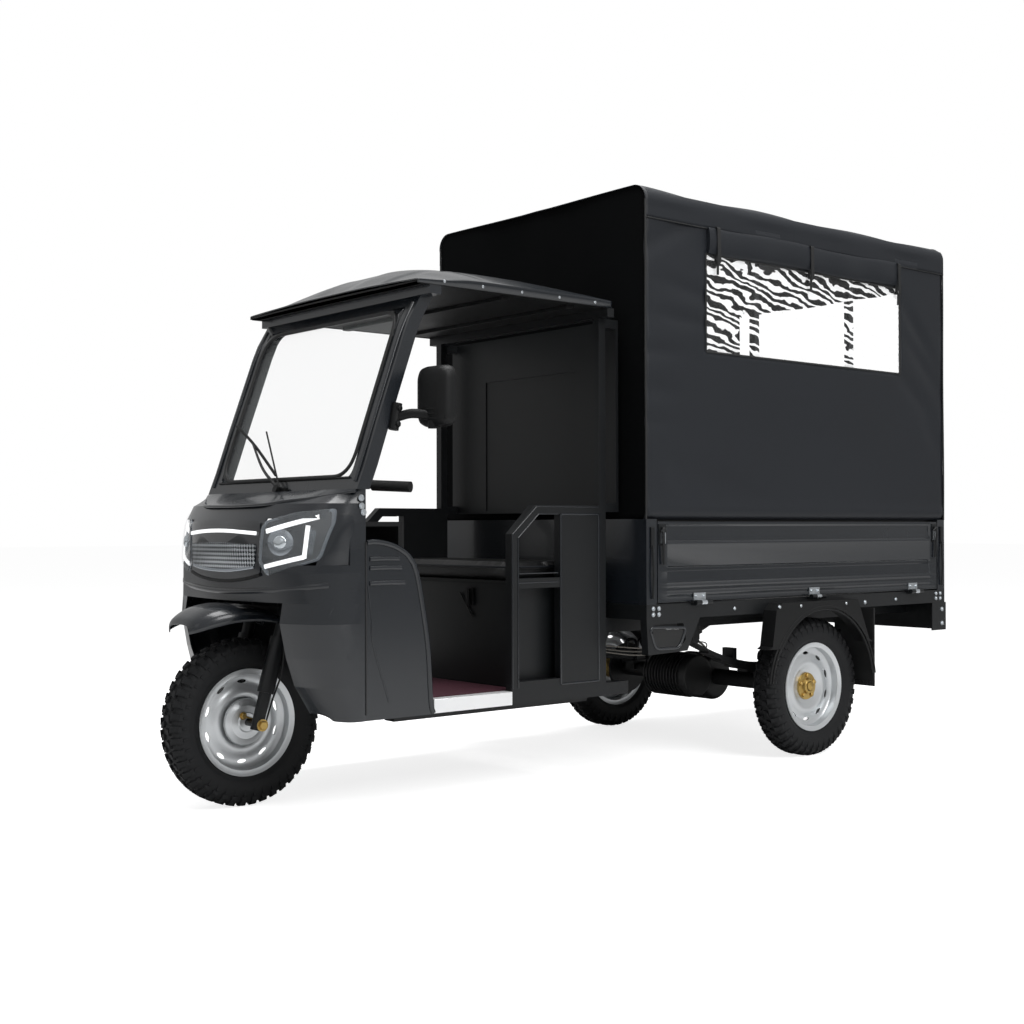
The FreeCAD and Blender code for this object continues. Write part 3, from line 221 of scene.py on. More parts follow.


# Reflector facets: a checker of plated squares whose bright and dark colours are a painted reflection of facets
# tilted their own ways; the bump raises every other square.
def facetFinish(name, facetMm):
    material = emptyMaterial(name)
    place = addNode(material, "ShaderNodeTexCoord")
    turned = addNode(material, "ShaderNodeMapping", {"Rotation": (0.785, 0, 0), "Scale": (0, 1, 1)},
                     {"Vector": place.outputs["Object"]})
    checker = addNode(material, "ShaderNodeTexChecker",
                      {"Scale": 1000 / facetMm, "Color1": toLinear("#C9CED2"),
                       "Color2": toLinear("#3A3E42")}, {"Vector": turned.outputs["Vector"]})
    relief = addNode(material, "ShaderNodeBump", {"Strength": 0.7, "Distance": facetMm / 2000},
                     {"Height": checker.outputs["Fac"]})
    shader = addNode(material, "ShaderNodeBsdfPrincipled", {"Metallic": 0.85, "Roughness": 0.2},
                     {"Base Color": checker.outputs["Color"], "Normal": relief.outputs[0]})
    return finishMaterial(material, shader)


# A lit light guide: a soft white glow under a frosted skin.
def glowFinish(name, color, strength):
    material = emptyMaterial(name)
    shader = addNode(material, "ShaderNodeBsdfPrincipled",
                     {"Base Color": toLinear("#E9ECEE"), "Roughness": 0.3,
                      "Emission Color": toLinear(color), "Emission Strength": strength})
    return finishMaterial(material, shader)


finishes = {
    # charcoal two-pack enamel over pressed steel: semi gloss, slightly uneven in the light
    "body_paint": plainFinish("charcoal_enamel", "#171B20", 0.26, coat=0.3, grainMm=6, bump=0.03),
    # black powder coat on welded tube: satin with a faint orange peel
    "frame_paint": plainFinish("black_powder_coat", "#101214", 0.42, grainMm=2.5, bump=0.08,
                               shine=0.35),
    # silver wheel enamel: pale, fine metallic flake
    "rim_paint": plainFinish("silver_wheel_enamel", "#C9CCCE", 0.30, 0.6, grainMm=0.8, bump=0.05),
    # tyre tread compound: dull black with a grey bloom
    "tyre": plainFinish("tread_rubber", "#111214", 0.66, grainMm=1.6, bump=0.3, shine=0.3),
    # moulded EPDM parts
    "black_rubber": plainFinish("moulded_rubber", "#0E0F10", 0.6, grainMm=1.2, bump=0.2),
    # spark-eroded grain polypropylene
    "black_plastic": plainFinish("grained_polypropylene", "#0A0B0C", 0.5, grainMm=1.0, bump=0.25,
                                 shine=0.25),
    # PVC coated polyester cloth: dull, with a fine leathery grain
    "canvas": plainFinish("coated_tarpaulin", "#1A1D22", 0.5, grainMm=1.8, bump=0.25, shine=0.3),
    # the same cloth with its colour darkened: painted shade for the panel that faces forwards out of the light
    "canvas_shade": plainFinish("coated_tarpaulin_painted_shade", "#08090A", 0.8, grainMm=1.8, bump=0.25,
                                shine=0.05),
    # soft clear PVC film, with long white bands of painted highlight for its wrinkles
    "window_film": filmFinish("clear_film_painted_glints", 27),
    # laminated screen glass
    "glass": plainFinish("screen_glass", "#EAF0F0", 0.03, alpha=0.06, grainMm=20, bump=0.0),
    # expanded vinyl seat cover
    "seat_vinyl": plainFinish("grained_vinyl", "#0D0E0F", 0.45, grainMm=1.6, bump=0.35),
    # clear polycarbonate cover over the lamp
    "lamp_lens": plainFinish("clear_polycarbonate", "#DCE4EA", 0.05, alpha=0.10, coat=0.5, grainMm=20,
                             bump=0.0),
    # dyed acrylic tail lens
    "tail_lens": plainFinish("red_acrylic_lens", "#8A0E12", 0.12, coat=0.5, grainMm=5, bump=0.05),
    # rolled aluminium sill plate: bright, brushed along its length
    "sill_metal": plainFinish("rolled_aluminium", "#F2F3F4", 0.32, 0.25, grainMm=1.0, bump=0.05),
    # ribbed vinyl floor mat, maroon with paler scuffs
    "floor_mat": plainFinish("maroon_floor_vinyl", "#4A2430", 0.6, grainMm=9.0, bump=0.3, spread=0.5),
    # black painted sand casting
    "cast_iron": plainFinish("painted_casting", "#101112", 0.55, grainMm=2.2, bump=0.35),
    # zinc plated fasteners: bright and slightly blue
    "zinc_steel": plainFinish("bright_zinc_plate", "#C3C8CC", 0.28, 0.9, grainMm=0.6, bump=0.05),
    # yellow passivated zinc on the hub flange and brake arm
    "gold_zinc": plainFinish("yellow_zinc_plate", "#B79A5A", 0.35, 0.85, grainMm=0.7, bump=0.1,
                             spread=0.3),
    # vacuum plated lamp bowl
    "lamp_chrome": plainFinish("plated_reflector", "#9AA0A6", 0.12, 0.9, grainMm=6, bump=0.02),
    # frosted grey border moulded round the lamp
    "lamp_border": plainFinish("frosted_polycarbonate", "#5B6168", 0.25, coat=0.6, grainMm=4, bump=0.02),
    # gloss black mask behind the lamp cover
    "lamp_mask": plainFinish("gloss_black_mask", "#1C1F23", 0.14, coat=0.6, grainMm=8, bump=0.02),
    # faceted plated reflector, its bright and dark squares a painted reflection
    "grille_facets": facetFinish("faceted_reflector", 9),
    # daytime light guide
    "light_guide": glowFinish("white_light_guide", "#FFFFFF", 0.75),
    # silvered mirror glass
    "mirror_glass": plainFinish("silvered_glass", "#C8CED2", 0.03, 0.95, grainMm=20, bump=0.0),
    # pale insulated wires
    "wire_skin": plainFinish("pale_wire_sleeve", "#77736C", 0.5, grainMm=1.0, bump=0.1, spread=0.4),
}

# Quads between neighbours of a rows by cols array of points; caps close its first and last row.
def gridShape(grid, closeRows=False, closeCols=False, caps=False):
    rows, cols = grid.shape[:2]
    row = np.arange(rows if closeRows else rows - 1)
    col = np.arange(cols if closeCols else cols - 1)
    a, b = np.meshgrid(row, col, indexing="ij")
    nextA, nextB = (a + 1) % rows, (b + 1) % cols
    quads = np.stack([a * cols + b, a * cols + nextB, nextA * cols + nextB, nextA * cols + b], -1)
    faces = quads.reshape(-1, 4).tolist()
    if caps:
        faces += [list(range(cols))[::-1], list(range((rows - 1) * cols, rows * cols))]
    return grid.reshape(-1, 3), faces


# Several shapes as one: their faces are renumbered one after another.
def joined(*shapes):
    starts = np.cumsum([0] + [len(points) for points, faces in shapes])
    faces = [[index + start for index in face]
             for (points, group), start in zip(shapes, starts) for face in group]
    return np.concatenate([points for points, group in shapes]), faces


# A curve through the points: cubic pieces whose slope at each point joins its neighbours.
def smoothLine(points, count):
    points = np.asarray(points, float)
    padded = np.concatenate([2 * points[:1] - points[1:2], points, 2 * points[-1:] - points[-2:-1]])
    where = np.linspace(0, len(points) - 1 - 1e-9, count)
    piece, t = where.astype(int), (where % 1)[:, None]
    a, b, c, d = (padded[piece + k] for k in range(4))
    return 0.5 * (2 * b + (c - a) * t + (2 * a - 5 * b + 4 * c - d) * t ** 2
                  + (3 * b - a - 3 * c + d) * t ** 3)


# A closed outline with each corner replaced by a curve from one radius before to one after.
def roundedLoop(points, radius, steps=5):
    points = np.asarray(points, float)
    before, after = np.roll(points, 1, 0) - points, np.roll(points, -1, 0) - points
    reach = [np.minimum(radius, 0.48 * np.linalg.norm(side, axis=1, keepdims=True))
             / np.linalg.norm(side, axis=1, keepdims=True) for side in (before, after)]
    start, end = points + before * reach[0], points + after * reach[1]
    t = np.linspace(0, 1, steps)[None, :, None]
    curve = (1 - t) ** 2 * start[:, None] + 2 * t * (1 - t) * points[:, None] + t ** 2 * end[:, None]
    return curve.reshape(-1, points.shape[1])


# A flat outline given in the two other axes, drawn out along one axis from low to high.
def plateShape(outline, axis, low, high):
    outline = np.asarray(outline, float)
    grid = np.stack([np.insert(outline, axis, level, axis=1) for level in (low, high)])
    return gridShape(grid, closeCols=True, caps=True)


# A block between two corners.
def blockShape(low, high):
    low, high = np.asarray(low, float), np.asarray(high, float)
    outline = [(low[0], low[1]), (high[0], low[1]), (high[0], high[1]), (low[0], high[1])]
    return plateShape(outline, 2, low[2], high[2])


# Rings carried along a path; each ring stands square to the path. flat squashes it upwards.
def tubeShape(path, radius, sides=12, flat=1.0):
    path = np.asarray(path, float)
    ahead = np.gradient(path, axis=0)
    ahead /= np.linalg.norm(ahead, axis=1, keepdims=True)
    guide = np.array([0.0, 0.0, 1.0]) if np.abs(ahead[:, 2]).mean() < 0.8 else np.array([0.0, 1.0, 0])
    side = np.cross(ahead, guide)
    side /= np.linalg.norm(side, axis=1, keepdims=True)
    up = np.cross(side, ahead)
    turn = np.linspace(0, 2 * np.pi, sides, endpoint=False)
    size = np.broadcast_to(np.asarray(radius, float), len(path))[:, None, None]
    ring = (np.cos(turn)[None, :, None] * side[:, None] + flat * np.sin(turn)[None, :, None]
            * up[:, None])
    return gridShape(path[:, None] + size * ring, closeCols=True, caps=True)


# A profile of (distance along Y, radius) turned about the Y line through the centre.
def turnedShape(profile, centre, sides=96, closed=True):
    profile = np.asarray(profile, float)
    turn = np.linspace(0, 2 * np.pi, sides, endpoint=False)[:, None]
    along, radius = profile[None, :, 0], profile[None, :, 1]
    grid = np.stack([radius * np.cos(turn), along + 0 * turn, radius * np.sin(turn)], -1)
    return gridShape(grid + np.asarray(centre, float), closeRows=True, closeCols=closed)


def mirroredShape(shape):
    points, faces = shape
    return points * (1, -1, 1), [face[::-1] for face in faces]


def bothSides(shape):
    return joined(shape, mirroredShape(shape))


# A shape becomes a mesh that rides on a body. wall thickens it inwards, bevel rounds it.
def makePiece(name, shape, finish, body="root", hides=(), wall=0.0, bevel=0.0, closed=True,
              smooth=32, split=0):
    points, faces = shape
    mesh = bpy.data.meshes.new(name)
    mesh.from_pydata((points + (rearAxleX, 0, 0)).tolist(), [], faces)
    if closed:
        work = bmesh.new()
        work.from_mesh(mesh)
        bmesh.ops.recalc_face_normals(work, faces=work.faces)
        work.to_mesh(mesh)
        work.free()
    mesh.shade_smooth()
    mesh.set_sharp_from_angle(angle=math.radians(smooth))
    mesh.materials.append(finishes[finish])
    piece = bpy.data.objects.new(name, mesh)
    bpy.context.scene.collection.objects.link(piece)
    if wall:
        solid = piece.modifiers.new("wall", "SOLIDIFY")
        solid.thickness, solid.offset = wall, -1
    if bevel:
        round_ = piece.modifiers.new("edge", "BEVEL")
        round_.width, round_.segments, round_.limit_method = bevel, 2, "ANGLE"
        round_.angle_limit = math.radians(40)
        round_.harden_normals = False
    if split:
        soft = piece.modifiers.new("soft", "SUBSURF")
        soft.levels = soft.render_levels = split
    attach(piece, body)
    if hides:
        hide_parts(*([hides] if isinstance(hides, str) else hides))
    return piece


# A shape shifted by an offset.
def moved(shape, by):
    return shape[0] + np.asarray(by, float), shape[1]


# Copies of a shape turned about the Y line through a centre, one for each angle.
def turnedCopies(shape, centre, angles):
    points, faces = shape
    around = points - centre
    cos, sin = np.cos(angles)[:, None], np.sin(angles)[:, None]
    copies = np.stack([around[None, :, 0] * cos + around[None, :, 2] * sin,
                       np.broadcast_to(around[None, :, 1], (len(angles), len(points))),
                       around[None, :, 2] * cos - around[None, :, 0] * sin], -1) + centre
    return joined(*[(copy, faces) for copy in copies])


# A bolt: a six-sided head with a chamfer on a thin washer, standing along out.
def boltShape(at, out, radius):
    at, out = np.asarray(at, float), np.asarray(out, float)
    rise = np.array([0, 0.25, 0.26, 0.85, 1.0])[:, None] * radius * 0.9
    washer = tubeShape(at + out * rise[[0, 1]], radius * 1.35, 14)
    head = tubeShape(at + out * rise[[2, 3, 4]], radius * np.array([1, 1, 0.8]), 6)
    return joined(washer, head)


# A strip laid along points with its own normals: a low trapezoid section, width by height.
def ribbonShape(path, normals, width, height, top=0.7):
    path, normals = np.asarray(path, float), np.asarray(normals, float)
    ahead = np.gradient(path, axis=0)
    ahead /= np.linalg.norm(ahead, axis=1, keepdims=True)
    side = np.cross(normals, ahead)
    side /= np.linalg.norm(side, axis=1, keepdims=True)
    section = np.array([(-0.5, -0.3), (-0.5, 0.55), (-0.5 * top, 1), (0.5 * top, 1), (0.5, 0.55),
                        (0.5, -0.3)])
    grid = (path[:, None] + side[:, None] * section[None, :, :1] * width
            + normals[:, None] * section[None, :, 1:] * height)
    return gridShape(grid, closeCols=True, caps=True)


# A shape cut out of a finished piece.
def carve(piece, shape):
    points, faces = shape
    mesh = bpy.data.meshes.new("cutter")
    mesh.from_pydata((points + (rearAxleX, 0, 0)).tolist(), [], faces)
    work = bmesh.new()
    work.from_mesh(mesh)
    bmesh.ops.recalc_face_normals(work, faces=work.faces)
    work.to_mesh(mesh)
    work.free()
    cutter = bpy.data.objects.new("cutter", mesh)
    bpy.context.scene.collection.objects.link(cutter)
    holes = piece.modifiers.new("holes", "BOOLEAN")
    holes.operation, holes.solver, holes.object = "DIFFERENCE", "EXACT", cutter
    view = bpy.context.evaluated_depsgraph_get()
    cutMesh = bpy.data.meshes.new_from_object(piece.evaluated_get(view))
    piece.modifiers.clear()
    piece.data = cutMesh
    bpy.data.objects.remove(cutter)


slots = {part["node"]: part["material_slot"] for part in frame["record"]["subparts"]}
for nodeName, node in nodes.items():
    node.data.materials.clear()
    node.data.materials.append(finishes[slots[nodeName]])
print("the carried-over parts have their finishes")


canopy = {"front": 0.894, "rear": -0.862, "half": 0.574, "low": 0.889, "high": 2.027,
          "round": 0.055, "valanceLow": 1.910, "windowFront": 0.592, "windowRear": -0.560,
          "windowLow": 1.477, "windowHigh": 1.822, "cloth": 0.0015, "strapAt": (0.543, 0.021, -0.533),
          "doorHalf": 0.530, "doorTop": 1.862}


# A soft hollow: a bell curve of depth at a spot, wide along x and tall along z, leaning.
def dent(x, z, atX, atZ, wide, tall, depth, lean=0.0):
    u, v = x - atX, z - atZ
    along, across = u * math.cos(lean) + v * math.sin(lean), v * math.cos(lean) - u * math.sin(lean)
    return -depth * np.exp(-(along / wide) ** 2 - (across / tall) ** 2)


# Stations that include every mark, no further apart than step.
def spacedBetween(marks, step):
    runs = [np.linspace(a, b, max(2, int(math.ceil(abs(b - a) / step)) + 1))[:-1]
            for a, b in zip(marks, marks[1:])]
    return np.concatenate(runs + [marks[-1:]])


# A hung panel: y is the half width, less dents near its edges, with a rolled-in hem below.
def sideCloth(side):
    c = canopy
    xs = spacedBetween([c["rear"] + 0.002, c["windowRear"], c["windowFront"], c["front"] - 0.002], 0.02)
    zs = spacedBetween([c["low"], c["low"] + 0.05, c["windowLow"], c["windowHigh"], c["valanceLow"] + 0.03],
                       0.018)
    x, z = np.meshgrid(xs, zs, indexing="ij")
    y = np.full_like(x, c["half"] - 0.003)
    for spot in ((0.80, 1.86, 0.20, 0.035, 0.007, -0.5), (0.66, 1.68, 0.15, 0.030, 0.006, 0.15),
                 (0.70, 1.58, 0.14, 0.026, 0.007, 0.05), (0.84, 1.46, 0.12, 0.022, 0.006, 0.0),
                 (0.82, 1.33, 0.10, 0.03, 0.005, 0.1), (0.86, 1.22, 0.08, 0.02, 0.004, 0.0),
                 (-0.68, 1.66, 0.16, 0.03, 0.007, 0.8), (-0.72, 1.52, 0.16, 0.03, 0.006, 0.7),
                 (-0.66, 1.40, 0.14, 0.03, 0.005, 0.6), (-0.78, 1.25, 0.10, 0.04, 0.004, 0.9),
                 (0.10, 1.20, 0.5, 0.12, 0.004, 0.05), (-0.4, 1.05, 0.4, 0.10, 0.003, -0.1),
                 (0.55, 1.02, 0.25, 0.05, 0.004, 0.2), (0.80, 1.02, 0.08, 0.05, -0.004, 1.2)):
        y += dent(x, z, *spot)
    y += 0.0012 * np.sin(7 * x + 3 * np.sin(4 * z)) * np.cos(5 * z + 2 * x)
    hem = np.clip((c["low"] + 0.055 - z) / 0.055, 0, 1)
    y += 0.006 * np.sin(np.pi * hem) - 0.010 * hem ** 2
    edge = np.clip((0.02 - (c["front"] - x)) / 0.02, 0, 1) + np.clip((0.02 - (x - c["rear"])) / 0.02, 0, 1)
    y -= 0.004 * edge ** 2
    points, faces = gridShape(np.stack([x, side * y, z], -1))
    inside = lambda p: ((p[:, 0] > c["windowRear"]) & (p[:, 0] < c["windowFront"])
                        & (p[:, 2] > c["windowLow"]) & (p[:, 2] < c["windowHigh"]))
    middles = points[np.array(faces)].mean(1)
    kept = np.array(faces)[~inside(middles)]
    if side > 0:
        kept = kept[:, ::-1]
    return points, kept.tolist()


# Half of the cover's section, (y, z): up the valance, round the shoulder, in to the middle.
def coverSection(inset, drop, count=10):
    c = canopy
    half, high, bend = c["half"] + inset, c["high"], c["round"] + inset
    turn = np.linspace(0, np.pi / 2, count)
    arc = np.stack([half - bend + bend * np.cos(turn), high - bend + bend * np.sin(turn)], 1)
    rise = np.stack([np.full(6, half), np.linspace(drop, high - bend, 6)], 1)[:-1]
    across = np.stack([np.linspace(half - bend, 0, 14), np.full(14, high)], 1)[1:]
    return np.concatenate([rise, arc, across])


# One sheet over the bows: a half section and its mirror image carried from rear to front.
def roofCloth():
    c = canopy
    half = coverSection(0.0015, c["valanceLow"])
    section = np.concatenate([half, (half * (-1, 1))[::-1][1:]])
    xs = np.linspace(c["rear"] - 0.002, c["front"] + 0.002, 90)
    y = np.broadcast_to(section[None, :, 0], (90, len(section))).copy()
    z = np.broadcast_to(section[None, :, 1], (90, len(section))).copy()
    x = np.broadcast_to(xs[:, None], y.shape)
    bowAt = np.linspace(c["rear"] + 0.03, c["front"] - 0.03, 4)
    nearest = np.abs(x[..., None] - bowAt).min(-1)
    top = z > c["high"] - 0.02
    z -= np.where(top, 0.010 * np.clip(nearest / 0.28, 0, 1) ** 1.5, 0)
    z -= np.where(top, 0.004 * (1 + np.sin(9 * x + 6 * y)) / 2, 0)
    ripple = 0.0025 * np.sin(11 * x + 2.0) * np.sin(3.1 * x) - 0.001
    y += np.sign(y) * np.where(z < c["high"] - 0.06, ripple, 0)
    return gridShape(np.stack([x, y, z], -1))


# An end panel under the shoulders: rows narrow near the top along the rounded corners.
def endCloth(atX, low, bulge):
    c = canopy
    zs = np.concatenate([np.linspace(low, c["high"] - c["round"], 60)[:-1],
                         c["high"] - c["round"] + c["round"] * np.sin(np.linspace(0, 1.52, 8))])
    rise = np.clip(zs - (c["high"] - c["round"]), 0, c["round"])
    half = c["half"] - 0.004 - (c["round"] - np.sqrt(c["round"] ** 2 - rise ** 2))
    share = np.linspace(-1, 1, 60)
    y, z = half[:, None] * share[None], np.repeat(zs[:, None], 60, 1)
    wave = 0.003 * np.sin(6 * y + 3 * z) * np.sin(4 * z) + 0.002 * np.sin(13 * y)
    x = atX + bulge * (np.abs(wave) - 0.001 + 0.004 * (1 - share[None] ** 2))
    return gridShape(np.stack([x + 0 * y, y, z], -1))


# Clear film behind its opening: flat, with long leaning wrinkles and a few short ones.
def filmCloth(side):
    c = canopy
    xs = np.linspace(c["windowRear"] - 0.012, c["windowFront"] + 0.012, 150)
    zs = np.linspace(c["windowLow"] - 0.012, c["windowHigh"] + 0.012, 60)
    x, z = np.meshgrid(xs, zs, indexing="ij")
    lean = x * 0.55 + z
    y = 0.0022 * np.sin(62 * lean + 3.0 * np.sin(6 * x + 2 * z)) * np.sin(5.0 * x - 9 * z)
    y += 0.0014 * np.sin(120 * (z - 0.7 * x) + 5 * np.sin(9 * z)) * np.sin(11 * x)
    y += 0.0008 * np.sin(210 * (z + 0.2 * x) + 4 * np.sin(17 * x))
    y = side * (c["half"] - 0.0085 - np.abs(y))
    return gridShape(np.stack([x, y, z], -1))


def makeCanopy():
    c = canopy
    length, tall = c["front"] - c["rear"], c["high"] - c["low"]
    roof = makePiece("canopy_roof_sheet", roofCloth(), "canvas", hides="canvas_cover",
                     wall=c["cloth"], closed=False)
    for side, word in ((1, "left"), (-1, "right")):
        cloth = sideCloth(side)
        panel = makePiece("canopy_side_" + word, cloth, "canvas", wall=c["cloth"], closed=False)
        film = filmCloth(side)
        pane = makePiece("window_film_" + word, film, "window_film", closed=False,
                         hides="canvas_windows" if side > 0 else ())
    # the front end panel takes the darkened cloth, painted shade for its forward face
    for word, atX, bulge, low, finish in (
            ("front", c["front"] - 0.004, -1, c["low"], "canvas_shade"),
            ("rear", c["rear"] + 0.004, 1, c["doorTop"], "canvas")):
        panel = makePiece("canopy_end_" + word, endCloth(atX, low, bulge), finish,
                          wall=c["cloth"], closed=False)
    for side, word in ((1, "left"), (-1, "right")):
        y, z = np.meshgrid(np.linspace(c["doorHalf"], c["half"] - 0.004, 8),
                           np.linspace(c["low"], c["doorTop"] + 0.004, 60))
        x = c["rear"] + 0.003 + 0.0015 * np.sin(9 * z + 40 * y)
        edging = makePiece("rear_edging_" + word, gridShape(np.stack([x, side * y, z], -1)), "canvas",
                           wall=c["cloth"], closed=False)
    # the rear curtain, rolled up and tied above its opening
    along = np.linspace(-c["doorHalf"], c["doorHalf"], 120)[:, None]
    turn = np.linspace(0, 2 * np.pi, 28, endpoint=False)[None]
    pinch = 1 - 0.16 * np.exp(-(np.minimum(abs(along - 0.3), abs(along + 0.3)) / 0.03) ** 2)
    curtain = np.stack([c["rear"] - 0.011 - 0.012 * pinch * np.cos(turn) + 0 * along,
                        along + 0 * turn,
                        1.897 + 0.036 * pinch * np.sin(turn) + 0.003 * np.sin(14 * along)], -1)
    makePiece("rear_curtain_roll", gridShape(curtain, closeCols=True, caps=True), "canvas")
    makeCanopyTrim()


# Piping at the corners, the stitched valance edge, the rolled flap and its straps.
def makeCanopyTrim():
    c = canopy
    cords, flaps, straps = [], [], []
    for side in (1, -1):
        y = side * (c["half"] - 0.002)
        for x in (c["front"] - 0.001, c["rear"] + 0.001):
            path = np.stack([np.full(40, x), y + 0.001 * np.sin(np.linspace(0, 9, 40)),
                             np.linspace(c["low"], c["high"] - c["round"], 40)], 1)
            cords.append(tubeShape(path, 0.0035, 8))
        edge = np.stack([np.linspace(c["rear"], c["front"], 80), np.full(80, side * (c["half"] + 0.0015)),
                         np.full(80, c["valanceLow"])], 1)
        cords.append(tubeShape(edge, 0.0022, 6))
        frame_ = [(c["windowRear"], c["windowLow"]), (c["windowFront"], c["windowLow"]),
                  (c["windowFront"], c["windowHigh"]), (c["windowRear"], c["windowHigh"])]
        for (x0, z0), (x1, z1) in zip(frame_, frame_[1:] + frame_[:1]):
            line = np.linspace((x0, side * (c["half"] - 0.003), z0), (x1, side * (c["half"] - 0.003), z1), 30)
            cords.append(tubeShape(line, 0.004, 6))
        xs = np.linspace(c["windowRear"] + 0.02, c["windowFront"] - 0.004, 90)
        turn = np.linspace(0, 2 * np.pi, 16, endpoint=False)
        sag = 0.004 * np.sin(xs * 9)[:, None]
        zs = (c["valanceLow"] + c["windowHigh"]) / 2 + 0.006 + sag + 0.046 * np.sin(turn)[None]
        out = side * (c["half"] + 0.004 + 0.009 * np.cos(turn)[None] + 0.002 * np.sin(25 * xs)[:, None])
        roll = np.stack([np.broadcast_to(xs[:, None], zs.shape), out, zs], -1)
        flaps.append(gridShape(roll, closeCols=True, caps=True))
        for x in c["strapAt"]:
            top, low = c["valanceLow"] + 0.008, c["windowHigh"] - 0.03
            band = roundedLoop([(side * (c["half"] + 0.004), top), (side * (c["half"] + 0.017), top),
                                (side * (c["half"] + 0.019), low), (side * (c["half"] + 0.001), low)],
                               0.008)
            inner = band * (1, 1) + (0, 0)
            middle = band.mean(0)
            inner = middle + (band - middle) * (0.82, 0.985)
            wide = 0.009
            rings = [np.insert(loop, 0, x + dx, axis=1)
                     for loop, dx in ((band, -wide), (band, wide), (inner, wide), (inner, -wide))]
            straps.append(gridShape(np.stack(rings), closeRows=True, closeCols=True))
            drop = np.linspace((x, side * (c["half"] + 0.010), low + 0.004),
                               (x - 0.004, side * (c["half"] + 0.006), low - 0.04), 6)
            straps.append(tubeShape(drop, 0.0045, 8))
            ring = np.linspace(0, 2 * np.pi, 20)
            loop = np.stack([x + 0.010 * np.cos(ring), np.full(20, side * (c["half"] + 0.014)),
                             low + 0.01 + 0.012 * np.sin(ring)], 1)
            straps.append(tubeShape(loop, 0.0022, 6))
    makePiece("canopy_piping", joined(*cords), "black_rubber")
    for word, flap in zip(("left", "right"), flaps):
        makePiece("window_flap_roll_" + word, flap, "canvas")
    makePiece("window_flap_straps", joined(*straps), "black_rubber")


makeCanopy()
print("canvas canopy is hung")


# pressed steel boards: z level and how far each stands in from the outer plane, in millimetres
boards = {"low": 0.605, "high": 0.881, "border": 0.045, "ramp": 0.006, "wall": 0.022,
          "front": 0.839, "rear": -0.807, "outer": 0.574, "gateHalf": 0.519, "gateOuter": 0.862,
          "hingeAt": (-0.634, 0.0, 0.634), "gateHingeAt": (-0.380, 0.0, 0.380), "pinOut": 0.020,
          "pinZ": 0.601,
          "pressing": ((605, 0), (618, 0), (622, -4), (627, -4), (631, -1), (640, -1), (645, -5),
                       (652, -5), (657, -1), (667, -1), (672, -5), (710, -5), (714, -8), (724, -8),
                       (728, -3), (799, -3), (803, 0), (810, 0), (815, -6), (866, -6), (872, 0),
                       (881, 0))}


# A pressed board: its section is carried along, flat at both end borders, as (along, depth, z).
def pressedBoard(start, end, outer):
    b = boards
    levels, depth = np.array(b["pressing"], float).T / 1000
    stations = np.array([start, start + b["border"], start + b["border"] + b["ramp"],
                         end - b["border"] - b["ramp"], end - b["border"], end])
    mask = np.array([0, 0, 1, 1, 0, 0])[:, None]
    out = outer + mask * depth[None]
    back = np.full((6, 2), outer - b["wall"])
    loop = np.concatenate([out, back], 1)
    z = np.broadcast_to(np.concatenate([levels, [b["high"], b["low"]]]), loop.shape)
    return gridShape(np.stack([np.broadcast_to(stations[:, None], loop.shape), loop, z], -1),
                     closeCols=True, caps=True)


# Swaps a board laid along X to one across the rear: (along, depth, z) becomes (-depth, along, z).
def toRear(shape):
    points, faces = shape
    return np.stack([-points[:, 1], points[:, 0], points[:, 2]], 1), faces


# A hinge leaf wrapped on its pin: a barrel, a cranked plate up the board and two rivets.
def hingeLeaf(x, outer):
    b = boards
    pinY = outer + b["pinOut"]
    barrel = tubeShape([(x - 0.013, pinY, b["pinZ"]), (x + 0.013, pinY, b["pinZ"])], 0.0088, 16)
    plate = blockShape((x - 0.013, outer - 0.002, 0.606), (x + 0.013, pinY - 0.002, 0.6095))
    leaf = blockShape((x - 0.030, outer - 0.001, 0.606), (x + 0.030, outer + 0.003, 0.634))
    rivets = [boltShape((x + dx, outer + 0.003, 0.622), (0, 1, 0), 0.0045) for dx in (-0.019, 0.019)]
    return joined(barrel, plate, leaf, *rivets)


# The claw latch at a board's end: a backing plate, a pale claw and a lever hanging down.
def latchShapes(x, outer, turn):
    plate = blockShape((x - 0.017, outer - 0.001, 0.800), (x + 0.017, outer + 0.003, 0.872))
    lever = tubeShape(smoothLine([(x, outer + 0.008, 0.862), (x + turn * 0.004, outer + 0.012, 0.835),
                                  (x + turn * 0.001, outer + 0.010, 0.79),
                                  (x - turn * 0.002, outer + 0.008, 0.735)], 20), 0.0055, 10, 0.7)
    hook = tubeShape(smoothLine([(x - 0.012, outer + 0.007, 0.846), (x, outer + 0.012, 0.858),
                                 (x + 0.012, outer + 0.007, 0.846)], 14), 0.004, 8)
    claw = blockShape((x - 0.012, outer + 0.003, 0.806), (x + 0.010, outer + 0.006, 0.850))
    return joined(plate, lever, hook), claw


